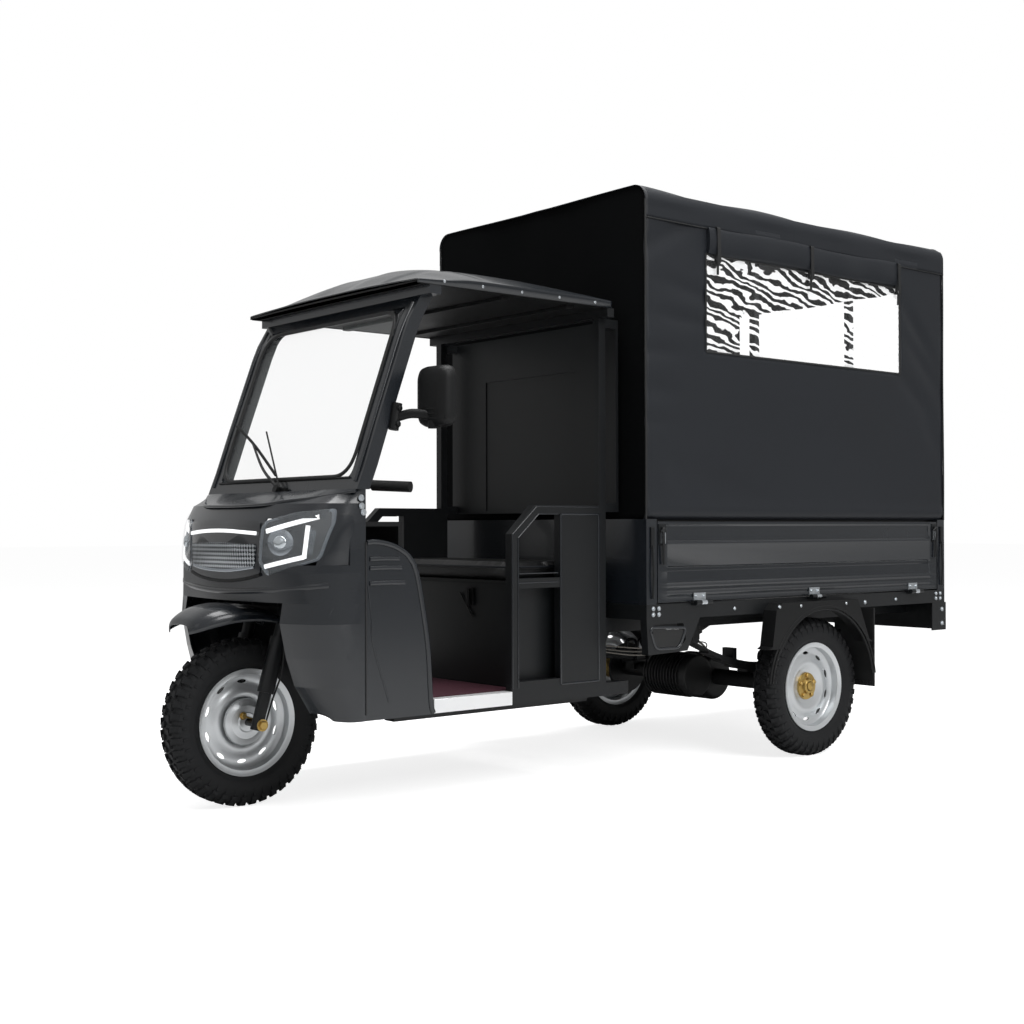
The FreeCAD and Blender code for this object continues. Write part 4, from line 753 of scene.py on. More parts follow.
def makeBoards():
    b = boards
    for side, word in ((1, "left"), (-1, "right")):
        flip = (lambda shape: shape) if side > 0 else mirroredShape
        body = "board_" + word
        shape = pressedBoard(b["rear"], b["front"], b["outer"])
        makePiece("pressed_side_board_" + word, flip(shape), "body_paint", body,
                  hides="side_board_" + word, bevel=0.0008)
        leaves = joined(*[hingeLeaf(x, b["outer"]) for x in b["hingeAt"]])
        makePiece("side_hinge_leaves_" + word, flip(leaves), "zinc_steel", body)
        dark, pale = zip(*[latchShapes(x, b["outer"], turn)
                           for x, turn in ((b["front"] - 0.020, 1), (b["rear"] + 0.020, -1))])
        makePiece("side_latches_" + word, flip(joined(*dark)), "frame_paint", body, bevel=0.0006)
        makePiece("side_latch_claws_" + word, flip(joined(*pale)), "zinc_steel", body)
    gate = toRear(pressedBoard(-b["gateHalf"], b["gateHalf"], b["gateOuter"]))
    makePiece("pressed_tailgate", gate, "body_paint", "gate", hides="tailgate", bevel=0.0008)
    leaves = toRear(joined(*[hingeLeaf(y, b["gateOuter"]) for y in b["gateHingeAt"]]))
    makePiece("tailgate_hinge_leaves", leaves, "zinc_steel", "gate")
    dark, pale = zip(*[latchShapes(y, b["gateOuter"], turn)
                       for y, turn in ((b["gateHalf"] - 0.02, 1), (0.02 - b["gateHalf"], -1))])
    makePiece("tailgate_latches", toRear(joined(*dark, *pale)), "frame_paint", "gate", bevel=0.0006)
    # catches and bolts on the fixed posts and rail
    catches, bolts = [], []
    for x in (0.868, -0.836):
        catches.append(blockShape((x - 0.008, 0.573, 0.79), (x + 0.008, 0.580, 0.862)))
        catches.append(tubeShape([(x, 0.580, 0.80), (x, 0.584, 0.70), (x, 0.580, 0.62)], 0.004, 8))
    for x in (0.862, 0.835, -0.80, -0.83):
        bolts.append(boltShape((x, 0.574, 0.586), (0, 1, 0), 0.006))
        bolts.append(boltShape((x, 0.574, 0.566), (0, 1, 0), 0.006))
    for x in (0.45, 0.12, -0.20, -0.52):
        bolts.append(boltShape((x, 0.574, 0.572), (0, 1, 0), 0.005))
    makePiece("post_catches", bothSides(joined(*catches)), "frame_paint", bevel=0.0006)
    makePiece("bed_bolts", bothSides(joined(*bolts)), "zinc_steel")


makeBoards()
print("boards, hinges and latches are on")

wheels = {"radius": 0.260, "blocks": 42, "half": 0.054, "track": 0.530, "vents": 10,
          "carcass": ((0.038, 0.1535), (0.0385, 0.167), (0.046, 0.180), (0.0495, 0.184), (0.0505, 0.190),
                      (0.0530, 0.204), (0.0528, 0.214), (0.0500, 0.226), (0.0470, 0.238),
                      (0.0420, 0.246), (0.0300, 0.2505), (0.0100, 0.2525))}


# One tread block: its outline (across, round) is drawn from the groove floor up to the tread.
def treadBlock(outline, lowRadius, highRadius, shrink=0.86):
    outline = np.asarray(outline, float)
    middle = outline.mean(0)
    top = middle + (outline - middle) * shrink
    low, high = (np.broadcast_to(r, len(outline)) for r in (lowRadius, highRadius))
    rings = [np.stack([loop[:, 1], loop[:, 0], np.sqrt(np.maximum(r ** 2 - loop[:, 1] ** 2, 0))], 1)
             for loop, r in ((outline, low), (top, high))]
    return gridShape(np.stack(rings), closeCols=True, caps=True)


def tyreShape(centre):
    w = wheels
    half = np.array(w["carcass"])
    profile = np.concatenate([half, (half * (-1, 1))[::-1]])
    carcass = turnedShape(profile, (0, 0, 0), 120)
    pitch = 2 * np.pi / w["blocks"]
    step = pitch * w["radius"]
    rows = []
    for side in (1, -1):
        lug = np.array([(0.0275, -0.30), (0.041, -0.28), (0.0535, -0.24), (0.0535, 0.24),
                        (0.041, 0.28), (0.0275, 0.30)]) * (side, step)
        rows.append((treadBlock(lug, [0.249, 0.245, 0.228, 0.228, 0.245, 0.249],
                                [0.2590, 0.2545, 0.2390, 0.2390, 0.2545, 0.2590], 0.92), 0.5 * (side > 0)))
        inner = np.array([(0.0045, -0.34), (0.0230, -0.22), (0.0255, 0.30), (0.0070, 0.20)]) * (side, step)
        rows.append((treadBlock(inner, 0.2515, 0.2598), 0.25 + 0.5 * (side > 0)))
        bar = np.array([(0.0500, -0.10), (0.0540, -0.08), (0.0540, 0.08), (0.0500, 0.10)]) * (side, step)
        rows.append((treadBlock(bar, [0.208, 0.206, 0.206, 0.208], [0.228, 0.226, 0.226, 0.228], 1.0),
                     0.5 * (side > 0)))
    tread = [turnedCopies(block, np.zeros(3), (np.arange(w["blocks"]) + shift) * pitch)
             for block, shift in rows]
    return moved(joined(carcass, *tread), centre)


# The dished disc: (along the axle, radius) from the hub out to the well; out is the dish's side.
def discShape(centre, out, hubHalf):
    profile = np.array([(0.004, 0.030), (0.004, 0.062), (0.006, 0.070), (0.012, 0.080),
                        (0.013, 0.094), (0.009, 0.104), (0.003, 0.116), (0.004, 0.134),
                        (0.010, 0.146), (0.012, 0.1478)])
    back = (profile - (0.0045, 0))[::-1]
    loop = np.concatenate([profile, back]) * (out, 1)
    return turnedShape(loop, centre, 96)


def bandShape(centre):
    # well, bead seats and rolled lips, as one closed section
    half = np.array([(0.030, 0.1475), (0.0385, 0.1485), (0.0400, 0.1600), (0.0425, 0.1640),
                     (0.0430, 0.1660), (0.0400, 0.1665), (0.0380, 0.1640), (0.0372, 0.1530),
                     (0.0280, 0.1515)])
    loop = np.concatenate([half, (half * (-1, 1))[::-1]])
    return turnedShape(loop, centre, 96)


# Lens-shaped vents through the disc, pointed at both ends.
def ventShape(centre, radius, long, tall):
    turn = np.linspace(0, 2 * np.pi, 20, endpoint=False)
    outline = np.stack([long * np.cos(turn), radius + tall * np.sin(turn) * np.abs(np.sin(turn)) ** 0.3], 1)
    rings = np.stack([np.stack([outline[:, 0], np.full(20, y), outline[:, 1]], 1) for y in (-0.05, 0.05)])
    vent = gridShape(rings, closeCols=True, caps=True)
    angles = np.arange(wheels["vents"]) * 2 * np.pi / wheels["vents"]
    return moved(turnedCopies(vent, np.zeros(3), angles), centre)


def makeWheels():
    w = wheels
    places = (("front", (wheelBase, 0, w["radius"]), 1, "front_wheel", "front_tyre", "front_rim"),
              ("rear_left", (0, w["track"], w["radius"]), 1, "rear_wheel_left", "rear_tyre_left",
               "rear_rim_left"),
              ("rear_right", (0, -w["track"], w["radius"]), -1, "rear_wheel_right",
               "rear_tyre_right", "rear_rim_right"))
    for word, centre, out, body, tyreNode, rimNode in places:
        centre = np.array(centre)
        makePiece(word + "_treaded_tyre", tyreShape(centre), "tyre", body, hides=tyreNode, smooth=40)
        disc = makePiece(word + "_wheel_disc", discShape(centre, out, 0.03), "rim_paint", body,
                         hides=rimNode)
        carve(disc, ventShape(centre, 0.1245, 0.017, 0.0062))
        makePiece(word + "_wheel_band", bandShape(centre), "rim_paint", body)
        if word == "front":
            hub = np.array([(-0.068, 0.0105), (-0.068, 0.022), (-0.052, 0.024), (-0.050, 0.066),
                            (-0.020, 0.070), (0.002, 0.070), (0.004, 0.030), (0.012, 0.026),
                            (0.012, 0.0105)])
            makePiece("front_hub", turnedShape(hub, centre, 48), "rim_paint", body)
            continue
        hub = np.array([(-0.085, 0.0185), (-0.085, 0.040), (-0.040, 0.052), (0.002, 0.052),
                        (0.010, 0.050), (0.012, 0.030), (0.022, 0.027), (0.024, 0.024),
                        (0.024, 0.0185)]) * (out, 1)
        makePiece(word + "_hub", turnedShape(hub, centre, 48), "gold_zinc", body)
        studs = [boltShape(centre + (0.040 * math.cos(a), out * 0.010, 0.040 * math.sin(a)), (0, out, 0),
                           0.0085) for a in np.arange(5) * 2 * math.pi / 5 + 0.3]
        cap = turnedShape(np.array([(0.020, 0.0), (0.020, 0.017), (0.027, 0.016), (0.031, 0.010),
                                    (0.032, 0.0)]) * (out, 1), centre, 24)
        makePiece(word + "_wheel_nuts", joined(cap, *studs), "gold_zinc", body)
    # the front brake's back plate, its arm and cable, and the axle nut
    centre = np.array([wheelBase, 0, w["radius"]])
    plate = np.array([(0.016, 0.011), (0.016, 0.071), (0.021, 0.0735), (0.026, 0.070), (0.029, 0.058),
                      (0.034, 0.052), (0.036, 0.032), (0.041, 0.028), (0.041, 0.011)])
    makePiece("front_brake_plate", turnedShape(plate, centre, 64), "rim_paint", "steering")
    arm = np.array([(0.020, 0.046, 0.022), (-0.010, 0.052, 0.010), (-0.052, 0.052, -0.018)]) + centre
    nut = boltShape(centre + (0, 0.129, 0), (0, 1, 0), 0.014)
    camNut = boltShape(centre + (0.020, 0.046, 0.022), (0, 1, 0), 0.009)
    makePiece("front_brake_arm", joined(tubeShape(smoothLine(arm, 16), 0.0085, 10, 0.4), camNut, nut),
              "gold_zinc", "steering")
    cable = smoothLine([centre + p for p in ((-0.052, 0.052, -0.018), (-0.066, 0.072, 0.060),
                                             (-0.075, 0.118, 0.16), (-0.085, 0.12, 0.27),
                                             (-0.110, 0.09, 0.33))], 40)
    makePiece("front_brake_cable", tubeShape(cable, 0.003, 8), "black_rubber", "steering")


makeWheels()
print("tyres, rims and the front brake are on")

# the nose: sections of (z, corner x and y, front x and y, nose x), as on the CAD cowl
cowl = {"rear": 1.948, "half": 0.457,
        "sections": ((.292, 2.000, .450, 2.025, .380, 2.040), (.392, 2.045, .435, 2.090, .330, 2.120),
                     (.477, 2.065, .430, 2.120, .320, 2.150), (.580, 2.085, .425, 2.144, .310, 2.174),
                     (.640, 2.085, .420, 2.150, .224, 2.170), (.729, 2.083, .415, 2.160, .224, 2.176),
                     (.800, 2.071, .425, 2.162, .224, 2.186), (.877, 2.051, .435, 2.158, .224, 2.178),
                     (.934, 2.031, .430, 2.120, .224, 2.140), (.976, 1.980, .435, 2.000, .224, 2.010)),
        "lamp": ((2.153, .235, .883), (2.095, .335, .905), (2.035, .437, .918), (2.042, .443, .880),
                 (2.060, .432, .830), (2.076, .422, .779), (2.083, .413, .766), (2.120, .330, .742),
                 (2.154, .245, .719), (2.164, .213, .758), (2.163, .218, .810), (2.161, .224, .862)),
        "topBar": ((2.158, .246, .852), (2.125, .320, .872), (2.075, .404, .895)),
        "postBar": ((2.095, .377, .868), (2.100, .376, .820), (2.105, .374, .772)),
        "lowBar": ((2.105, .374, .776), (2.135, .310, .762), (2.162, .240, .747)),
        "bowl": (2.150, .298, .820)}


# The nose surface on a grid: heights down the rows, places round the plan along the columns.
def cowlGrid(rows=260, cols=300):
    sections = smoothLine(cowl["sections"], rows)
    z, cornerX, cornerY, frontX, frontY, noseX = sections.T
    rear, half = np.full(rows, cowl["rear"]), np.full(rows, cowl["half"])
    plan = np.stack([np.stack([rear, half], 1), np.stack([cornerX, cornerY], 1),
                     np.stack([frontX, frontY], 1), np.stack([noseX, 0 * z], 1),
                     np.stack([frontX, -frontY], 1), np.stack([cornerX, -cornerY], 1),
                     np.stack([rear, -half], 1)], 0)
    line = smoothLine(plan.reshape(7, -1), cols).reshape(cols, rows, 2).transpose(1, 0, 2)
    grid = np.concatenate([line, np.repeat(z[:, None], cols, 1)[..., None]], -1)
    across = np.gradient(grid, axis=1)
    upward = np.gradient(grid, axis=0)
    normal = np.cross(upward, across)
    normal /= np.linalg.norm(normal, axis=2, keepdims=True)
    normal *= np.sign((normal * (grid - (1.9, 0, 0)) * (1, 1, 0)).sum(2, keepdims=True))
    return grid, normal


noseGrid, noseNormal = cowlGrid()


# Moves points onto the nose: the nearest place of a coarse grid, then of the fine grid round it;
# each point then slides along the surface's own plane, so that steps of the grid don't show.
def ontoNose(points, lift=0.0):
    points = np.asarray(points, float).reshape(-1, 3)
    rows, cols = noseGrid.shape[:2]
    coarse = noseGrid[::8, ::8]
    gaps = ((points[:, None] - coarse.reshape(-1, 3)[None]) ** 2).sum(-1)
    row, col = np.divmod(np.argmin(gaps, axis=1), coarse.shape[1])
    step = np.arange(-8, 9)
    row, col = np.broadcast_arrays(np.clip(row[:, None, None] * 8 + step[:, None], 0, rows - 1),
                                   np.clip(col[:, None, None] * 8 + step, 0, cols - 1))
    row, col = row.reshape(len(points), -1), col.reshape(len(points), -1)
    best = np.argmin(((noseGrid[row, col] - points[:, None]) ** 2).sum(-1), axis=1)
    each = np.arange(len(points))
    place, ups = noseGrid[row[each, best], col[each, best]], noseNormal[row[each, best], col[each, best]]
    away = points - place
    away -= (away * ups).sum(1, keepdims=True) * ups
    return place + away + lift * ups, ups


def noseStrip(points, width, height, lift=0.0, count=40, top=0.7):
    path, ups = ontoNose(smoothLine(points, count), lift)
    return ribbonShape(path, ups, width, height, top)


# A patch on the nose: the outline shrinks to its middle in rings, domed by a raised cosine.
def nosePatch(outline, lift, dome=0.0, rings=18, edge=0.004, round_=0.010):
    loop = roundedLoop(outline, round_, 6)
    middle = loop.mean(0)
    share = np.linspace(1, 0.02, rings)
    points = middle + (loop - middle)[None] * share[:, None, None]
    rise = lift + dome * (1 - share ** 4)
    top, ups = ontoNose(points.reshape(-1, 3))
    top = top.reshape(rings, -1, 3) + ups.reshape(rings, -1, 3) * rise[:, None, None]
    foot, footUps = ontoNose(points[0])
    grid = np.concatenate([(foot - footUps * edge)[None], top])
    return gridShape(grid, closeCols=True, caps=True)


def makeLamps():
    lamp = np.array(cowl["lamp"])
    middle = lamp.mean(0)
    inner = middle + (lamp - middle) * 0.90
    bowl = np.array(cowl["bowl"])
    turn = np.linspace(0, 2 * np.pi, 24, endpoint=False)
    bowlRing = bowl + np.stack([-0.045 * np.cos(turn) * 0.4, 0.045 * np.cos(turn), 0.040 * np.sin(turn)], 1)
    border = nosePatch(lamp, 0.0015)
    cheek = nosePatch([(1.990, .452, .897), (2.020, .447, .900), (2.050, .440, .896), (2.066, .428, .83),
                       (2.092, .405, .744), (2.040, .440, .742), (1.990, .449, .744)], 0.0010)
    mask = nosePatch(inner, 0.0030)
    bars = joined(*[noseStrip(cowl[name], wide, 0.0040, 0.003)
                    for name, wide in (("topBar", 0.014), ("postBar", 0.014), ("lowBar", 0.013))])
    chrome = nosePatch(bowlRing, 0.0032, 0.003, round_=0.004)
    eye = nosePatch(bowl + (bowlRing - bowl) * 0.5, 0.0062, 0.007, round_=0.003)
    outer = middle + (lamp - middle) * 0.97
    cover = nosePatch(outer, 0.009, 0.004)
    fins = joined(*[noseStrip([(2.10, .392 + 0.005 * k, .862 - 0.002 * k), (2.105, .389 + 0.004 * k, .785)],
                              0.0022, 0.003, 0.003, 12) for k in range(5)])
    makePiece("headlamp_borders", bothSides(border), "lamp_border", hides="headlamps", smooth=50)
    makePiece("headlamp_cheeks", bothSides(cheek), "body_paint", smooth=50)
    makePiece("headlamp_masks", bothSides(mask), "lamp_mask", smooth=50)
    makePiece("headlamp_light_guides", bothSides(bars), "light_guide", smooth=50)
    makePiece("headlamp_bowls", bothSides(joined(chrome, fins)), "lamp_chrome", smooth=50)
    makePiece("headlamp_projectors", bothSides(eye), "mirror_glass", smooth=50)
    makePiece("headlamp_covers", bothSides(cover), "lamp_lens", smooth=50)


def makeGrille():
    ys = np.linspace(-0.217, 0.217, 33)
    curve = lambda z, drop: np.stack([np.full(33, 2.17), ys, z - drop * (ys / 0.217) ** 2], 1)
    outline = np.concatenate([curve(0.884, 0.0)[::4], curve(0.704, -0.022)[::-4]])
    backing = nosePatch(outline, 0.0020, rings=24)
    facetOutline = np.concatenate([curve(0.818, 0.004)[::4] * (1, 0.93, 1),
                                   curve(0.738, -0.012)[::-4] * (1, 0.90, 1)])
    facets = nosePatch(facetOutline, 0.0036, rings=24, edge=0.0)
    guide = noseStrip(curve(0.852, 0.006) * (1, 0.94, 1), 0.011, 0.0045, 0.002, 60)
    pale = noseStrip(curve(0.733, -0.012) * (1, 0.88, 1), 0.010, 0.003, 0.003, 60)
    lip = noseStrip(curve(0.700, -0.022), 0.010, 0.006, 0.0, 60)
    makePiece("grille_panel", backing, "lamp_mask", hides="grille_lamp", smooth=50)
    makePiece("grille_facet_reflector", facets, "grille_facets", smooth=50)
    makePiece("grille_light_guide", guide, "light_guide", smooth=50)
    makePiece("grille_lower_bar", pale, "lamp_chrome", smooth=50)
    makePiece("grille_lower_lip", lip, "black_plastic", smooth=50)


def makeNoseLines():
    crease = [(1.98, .452, .970), (2.06, .33, .955), (2.093, .263, .942), (2.134, .175, .932),
              (2.150, .0, .931), (2.134, -.175, .932), (2.093, -.263, .942), (2.06, -.33, .955),
              (1.98, -.452, .970)]
    band = [(2.06, .43, .694), (2.12, .33, .684), (2.158, .224, .675), (2.172, 0, .668),
            (2.158, -.224, .675), (2.12, -.33, .684), (2.06, -.43, .694)]
    cheek = [(2.03, .445, .66), (2.06, .43, .60), (2.05, .435, .50), (2.02, .445, .40)]
    arch = [(2.174, -.247, .498), (2.141, .307, .556), (2.122, .339, .498), (2.09, .345, .393),
            (2.042, .345, .311)]
    lines = [noseStrip(crease, 0.010, 0.005, 0, 90, 0.3), noseStrip(band, 0.016, 0.005, 0, 90, 0.5)]
    cheeks = [noseStrip(cheek, 0.006, 0.003, 0, 40, 0.3)]
    makePiece("nose_creases", joined(*lines, bothSides(joined(*cheeks))), "body_paint", smooth=60)
    bolts = [boltShape((x, 0.458, z), (0, 1, 0), 0.0075)
             for x, z in ((1.965, .950), (1.963, .926), (1.957, .908))]
    makePiece("pillar_foot_bolts", bothSides(joined(*bolts)), "zinc_steel")
    seam = blockShape((1.946, 0.4555, 0.31), (1.950, 0.4590, 0.82))
    makePiece("cowl_seam_strips", bothSides(seam), "black_rubber")


makeLamps()
makeGrille()
makeNoseLines()
print("lamps, grille and nose lines are on")

shield = {"face": 0.457, "edge": ((1.944, .818), (1.909, .820), (1.856, .810), (1.813, .791),
                                  (1.786, .768), (1.764, .728), (1.743, .634), (1.721, .499),
                                  (1.710, .335), (1.700, .296)),
          "ribs": ((1.934, 1.828, .769), (1.934, 1.820, .742), (1.934, 1.808, .697)),
          "panel": ((1.940, .690), (1.928, .60), (1.922, .515), (1.865, .340))}


# A raised line on a flat side face: points of (x, z) at that face's y.
def sideStrip(points, face, width, height, count=40, top=0.5):
    line = smoothLine(points, count)
    path = np.stack([line[:, 0], np.full(count, face), line[:, 1]], 1)
    return ribbonShape(path, np.broadcast_to([0.0, 1.0, 0.0], path.shape), width, height, top)


def makeShields():
    s = shield
    edge = sideStrip(s["edge"], s["face"] - 0.001, 0.016, 0.006, 90)
    ribs = [sideStrip([(a, z), ((a + b) / 2, z + 0.001), (b, z)], s["face"] - 0.001, 0.014, 0.005, 24)
            for a, b, z in s["ribs"]]
    inner = sideStrip(s["panel"], s["face"] - 0.001, 0.005, 0.003, 50)
    makePiece("shield_flanges", bothSides(joined(edge, inner, *ribs)), "body_paint", smooth=60)
    # bright tread plates over the sills, with a folded edge
    plate = joined(blockShape((1.388, 0.455, 0.294), (1.699, 0.4605, 0.336)),
                   blockShape((1.388, 0.418, 0.3345), (1.699, 0.4605, 0.3365)))
    makePiece("sill_tread_plates", bothSides(plate), "sill_metal", bevel=0.001)


def makeFrontFender():
    # a domed guard: (x, half width, crown z, edge z) stations from rear to tip, bulged across
    stations = smoothLine([(1.975, 0.085, .566, .556), (2.03, .105, .596, .575), (2.10, .117, .620, .586),
                           (2.18, .119, .629, .586), (2.25, .110, .618, .574), (2.30, .090, .592, .560),
                           (2.316, .062, .570, .553)], 60)
    x, half, crown, edge = stations.T[:, :, None]
    share = np.linspace(-1, 1, 41)[None]
    z = edge + (crown - edge) * (1 - np.abs(share) ** 2.6)
    y = half * np.sin(share * np.pi / 2) ** 1.0
    lip = np.clip((np.abs(share) - 0.93) / 0.07, 0, 1)
    z = z - 0.010 * lip
    grid = np.stack([x + 0 * share, y, z], -1)
    makePiece("domed_front_fender", gridShape(grid), "body_paint", "steering", hides="front_fender",
              wall=0.003, closed=False, smooth=50)
    strap = tubeShape(smoothLine([(2.02, 0, 0.588), (1.98, 0, 0.590), (1.955, 0, 0.596)], 14), 0.022, 10, 0.25)
    makePiece("fender_strap", strap, "black_plastic", "steering")


def makeRoof():
    # skin: crown times a cosine across, ridges as soft steps along x; stations as on the CAD roof
    at = smoothLine([(0.985, 20, 66), (1.085, 24, 74), (1.285, 24, 92), (1.560, 24, 87), (1.680, 14, 64),
                     (1.790, 8, 9)], 120)
    x, edge, crown = at.T[:, :, None]
    x, edge, crown = x, edge / 1000, crown / 1000
    share = np.linspace(-1, 1, 121)[None]
    shape = 1 - np.abs(share) ** 2.3
    z = 1.600 + edge + crown * shape
    front = np.clip((x - 1.45) / 0.25, 0, 1) * np.clip((1.79 - x) / 0.03, 0, 1)
    for middle, wide in ((0.0, 0.20), (0.62, 0.055), (-0.62, 0.055)):
        z = z - 0.007 * np.exp(-((share - middle) / wide) ** 4) * front * shape
    for bend in (1.30, 1.52):
        z = z - 0.004 * np.exp(-((x - bend) / 0.012) ** 2) * shape
    top = np.stack([x + 0 * share, 0.5 * share + 0 * x, np.minimum(z, 1.717)], -1)
    skirt = top[:, [0, -1]].copy()
    skirt[..., 2] = 1.600
    grid = np.concatenate([skirt[:, :1], top, skirt[:, 1:]], 1)
    makePiece("pressed_roof_skin", gridShape(grid), "body_paint", hides="cab_roof", wall=0.004,
              closed=False, smooth=60)
    lining = blockShape((0.99, -0.492, 1.6005), (1.755, 0.492, 1.604))
    bars = [blockShape((a, -0.46, 1.588), (a + 0.03, 0.46, 1.6006)) for a in (1.12, 1.40)]
    lip = tubeShape(smoothLine([(1.786, -0.497, 1.606), (1.789, 0, 1.608), (1.786, 0.497, 1.606)], 40), 0.003, 8)
    edges = [tubeShape([(0.99, y, 1.602), (1.786, y, 1.602)], 0.0045, 8) for y in (-0.497, 0.497)]
    makePiece("roof_lining", joined(lining, *bars, lip, *edges), "black_plastic", bevel=0.001)
    bolts = [boltShape((x, 0.500, 1.612), (0, 1, 0), 0.005) for x in (1.06, 1.22, 1.38, 1.54, 1.69)]
    makePiece("roof_edge_bolts", bothSides(joined(*bolts)), "zinc_steel")


def makeMirror():
    # the shell: rounded outlines stacked through its depth, widest a third of the way in
    centre = np.array([1.760, 0.548, 1.255])
    turn = math.radians(15)
    outline = roundedLoop([(-0.070, -0.0925), (0.070, -0.0925), (0.070, 0.0925), (-0.070, 0.0925)], 0.040, 9)
    rings = []
    for depth, size in ((-0.021, 0.90), (-0.0225, 0.985), (-0.015, 1.0), (0.000, 0.985), (0.012, 0.94),
                        (0.020, 0.84), (0.0245, 0.66), (0.025, 0.40)):
        loop = outline * size
        x, y = np.full(len(loop), depth), loop[:, 0]
        rings.append(np.stack([x * math.cos(turn) - y * math.sin(turn) * 0.3, y + x * math.sin(turn) * 0.3,
                               loop[:, 1]], 1) + centre)
    shell = gridShape(np.stack(rings), closeCols=True, caps=True)
    ribs = [tubeShape(smoothLine([centre + (0.012, -0.060, z), centre + (0.0225, 0, z),
                                  centre + (0.008, 0.062, z)], 20), 0.004, 8) for z in (-0.040, -0.054, -0.068)]
    arm = tubeShape(smoothLine([(1.838, 0.470, 1.195), (1.815, 0.500, 1.203), (1.785, 0.530, 1.200),
                                (1.770, 0.548, 1.190)], 30), 0.011, 12, 1.3)
    foot = joined(tubeShape([(1.852, 0.462, 1.155), (1.838, 0.462, 1.235)], 0.016, 14),
                  boltShape((1.846, 0.476, 1.172), (0, 1, 0), 0.008),
                  boltShape((1.840, 0.476, 1.220), (0, 1, 0), 0.008),
                  tubeShape([(1.770, 0.548, 1.158), (1.770, 0.548, 1.182)], 0.014, 14))
    makePiece("mirror_housing", joined(shell, arm, foot, *ribs), "black_plastic", hides="side_mirror",
              smooth=50)


# The raked screen plane: x for a height.
def screenX(z):
    z = np.asarray(z, float)
    return np.interp(z, [.976, 1.050, 1.200, 1.350, 1.450, 1.500, 1.572, 1.60],
                     [1.979, 1.950, 1.898, 1.844, 1.808, 1.787, 1.745, 1.725])


def makeScreenTrim():
    loop = roundedLoop([(-0.394, 1.016), (0.394, 1.016), (0.394, 1.530), (-0.394, 1.530)], 0.085, 12)
    corner = loop[24:36]
    outer = np.stack([np.minimum(0.402, corner[:, 0] + 0.03), np.minimum(1.538, corner[:, 1] + 0.03)], 1)
    outer[[0, -1]] = (0.402, corner[0, 1]), (corner[-1, 0], 1.538)
    band = np.stack([np.stack([screenX(line[:, 1]), line[:, 0], line[:, 1]], 1) for line in (corner, outer)])
    makePiece("screen_corner_masks", bothSides(gridShape(band)), "lamp_mask", wall=0.002, closed=False)
    loop = np.concatenate([loop, loop[:2]])
    path = np.stack([screenX(loop[:, 1]) + 0.002, loop[:, 0], loop[:, 1]], 1)
    ups = np.broadcast_to([0.94, 0.0, 0.34], path.shape)
    rubber = ribbonShape(path, ups, 0.012, 0.005, 0.6)
    bar = ribbonShape(np.stack([np.full(20, screenX(1.012) + 0.001), np.linspace(-0.40, 0.40, 20),
                                np.full(20, 1.012)], 1), np.broadcast_to([0.94, 0, 0.34], (20, 3)), 0.006,
                      0.004)
    makePiece("screen_rubber", joined(rubber, bar), "black_rubber", smooth=60)
    at = lambda y, z, out: np.array([float(screenX(z)) + 0.94 * out, y, z + 0.34 * out])
    arm = tubeShape(smoothLine([at(0.026, 0.985, 0.020), at(-0.08, 1.04, 0.030), at(-0.228, 1.135, 0.016)], 24),
                    np.linspace(0.0075, 0.0035, 24), 8, 0.6)
    blade = tubeShape(smoothLine([at(-0.390, 1.207, 0.010), at(-0.228, 1.135, 0.011), at(-0.026, 1.028, 0.010)],
                                 30), 0.0045, 8, 1.2)
    second = tubeShape([at(0.040, 0.982, 0.018), at(-0.06, 1.075, 0.018), at(-0.17, 1.175, 0.012)], 0.003, 8)
    base = joined(tubeShape([at(0.026, 0.978, -0.004), at(0.026, 0.978, 0.026)], 0.013, 14),
                  blockShape(at(-0.01, 0.972, 0.0), at(0.07, 0.982, 0.014)))
    makePiece("wiper", joined(arm, blade, second, base), "black_plastic")
    pillars = [tubeShape(smoothLine([(screenX(z) + 0.001, 0.435, z) for z in (1.0, 1.15, 1.3, 1.45, 1.55)], 30),
                         0.006, 8)]
    makePiece("pillar_ridges", bothSides(joined(*pillars)), "body_paint", smooth=60)


def makeGuards():
    face = 0.457
    panel = [(1.176, .345), (1.176, .905), (1.004, .905), (1.004, .345)]
    lines = []
    for a, b in zip(panel, panel[1:] + panel[:1]):
        lines.append(sideStrip([a, b], face, 0.007, 0.003, 6))
    for points in ([(1.384, .345), (1.384, .840), (1.280, .930), (1.005, .930)],
                   [(1.360, .345), (1.360, .828), (1.272, .906), (1.19, .906)],
                   [(1.36, .713), (1.19, .713)], [(1.36, .683), (1.19, .683)]):
        for a, b in zip(points, points[1:]):
            lines.append(sideStrip([a, b], face, 0.004, 0.0025, 6))
    makePiece("guard_edges", bothSides(joined(*lines)), "body_paint", smooth=60)
    # hasp and stay on the seat box front
    hasp = joined(blockShape((1.330, 0.15, 0.60), (1.336, 0.19, 0.66)),
                  tubeShape([(1.340, 0.17, 0.655), (1.342, 0.17, 0.60)], 0.005, 8),
                  tubeShape([(1.334, 0.12, 0.64), (1.334, 0.19, 0.56)], 0.003, 8))
    makePiece("seat_box_latch", hasp, "black_plastic", bevel=0.0006)


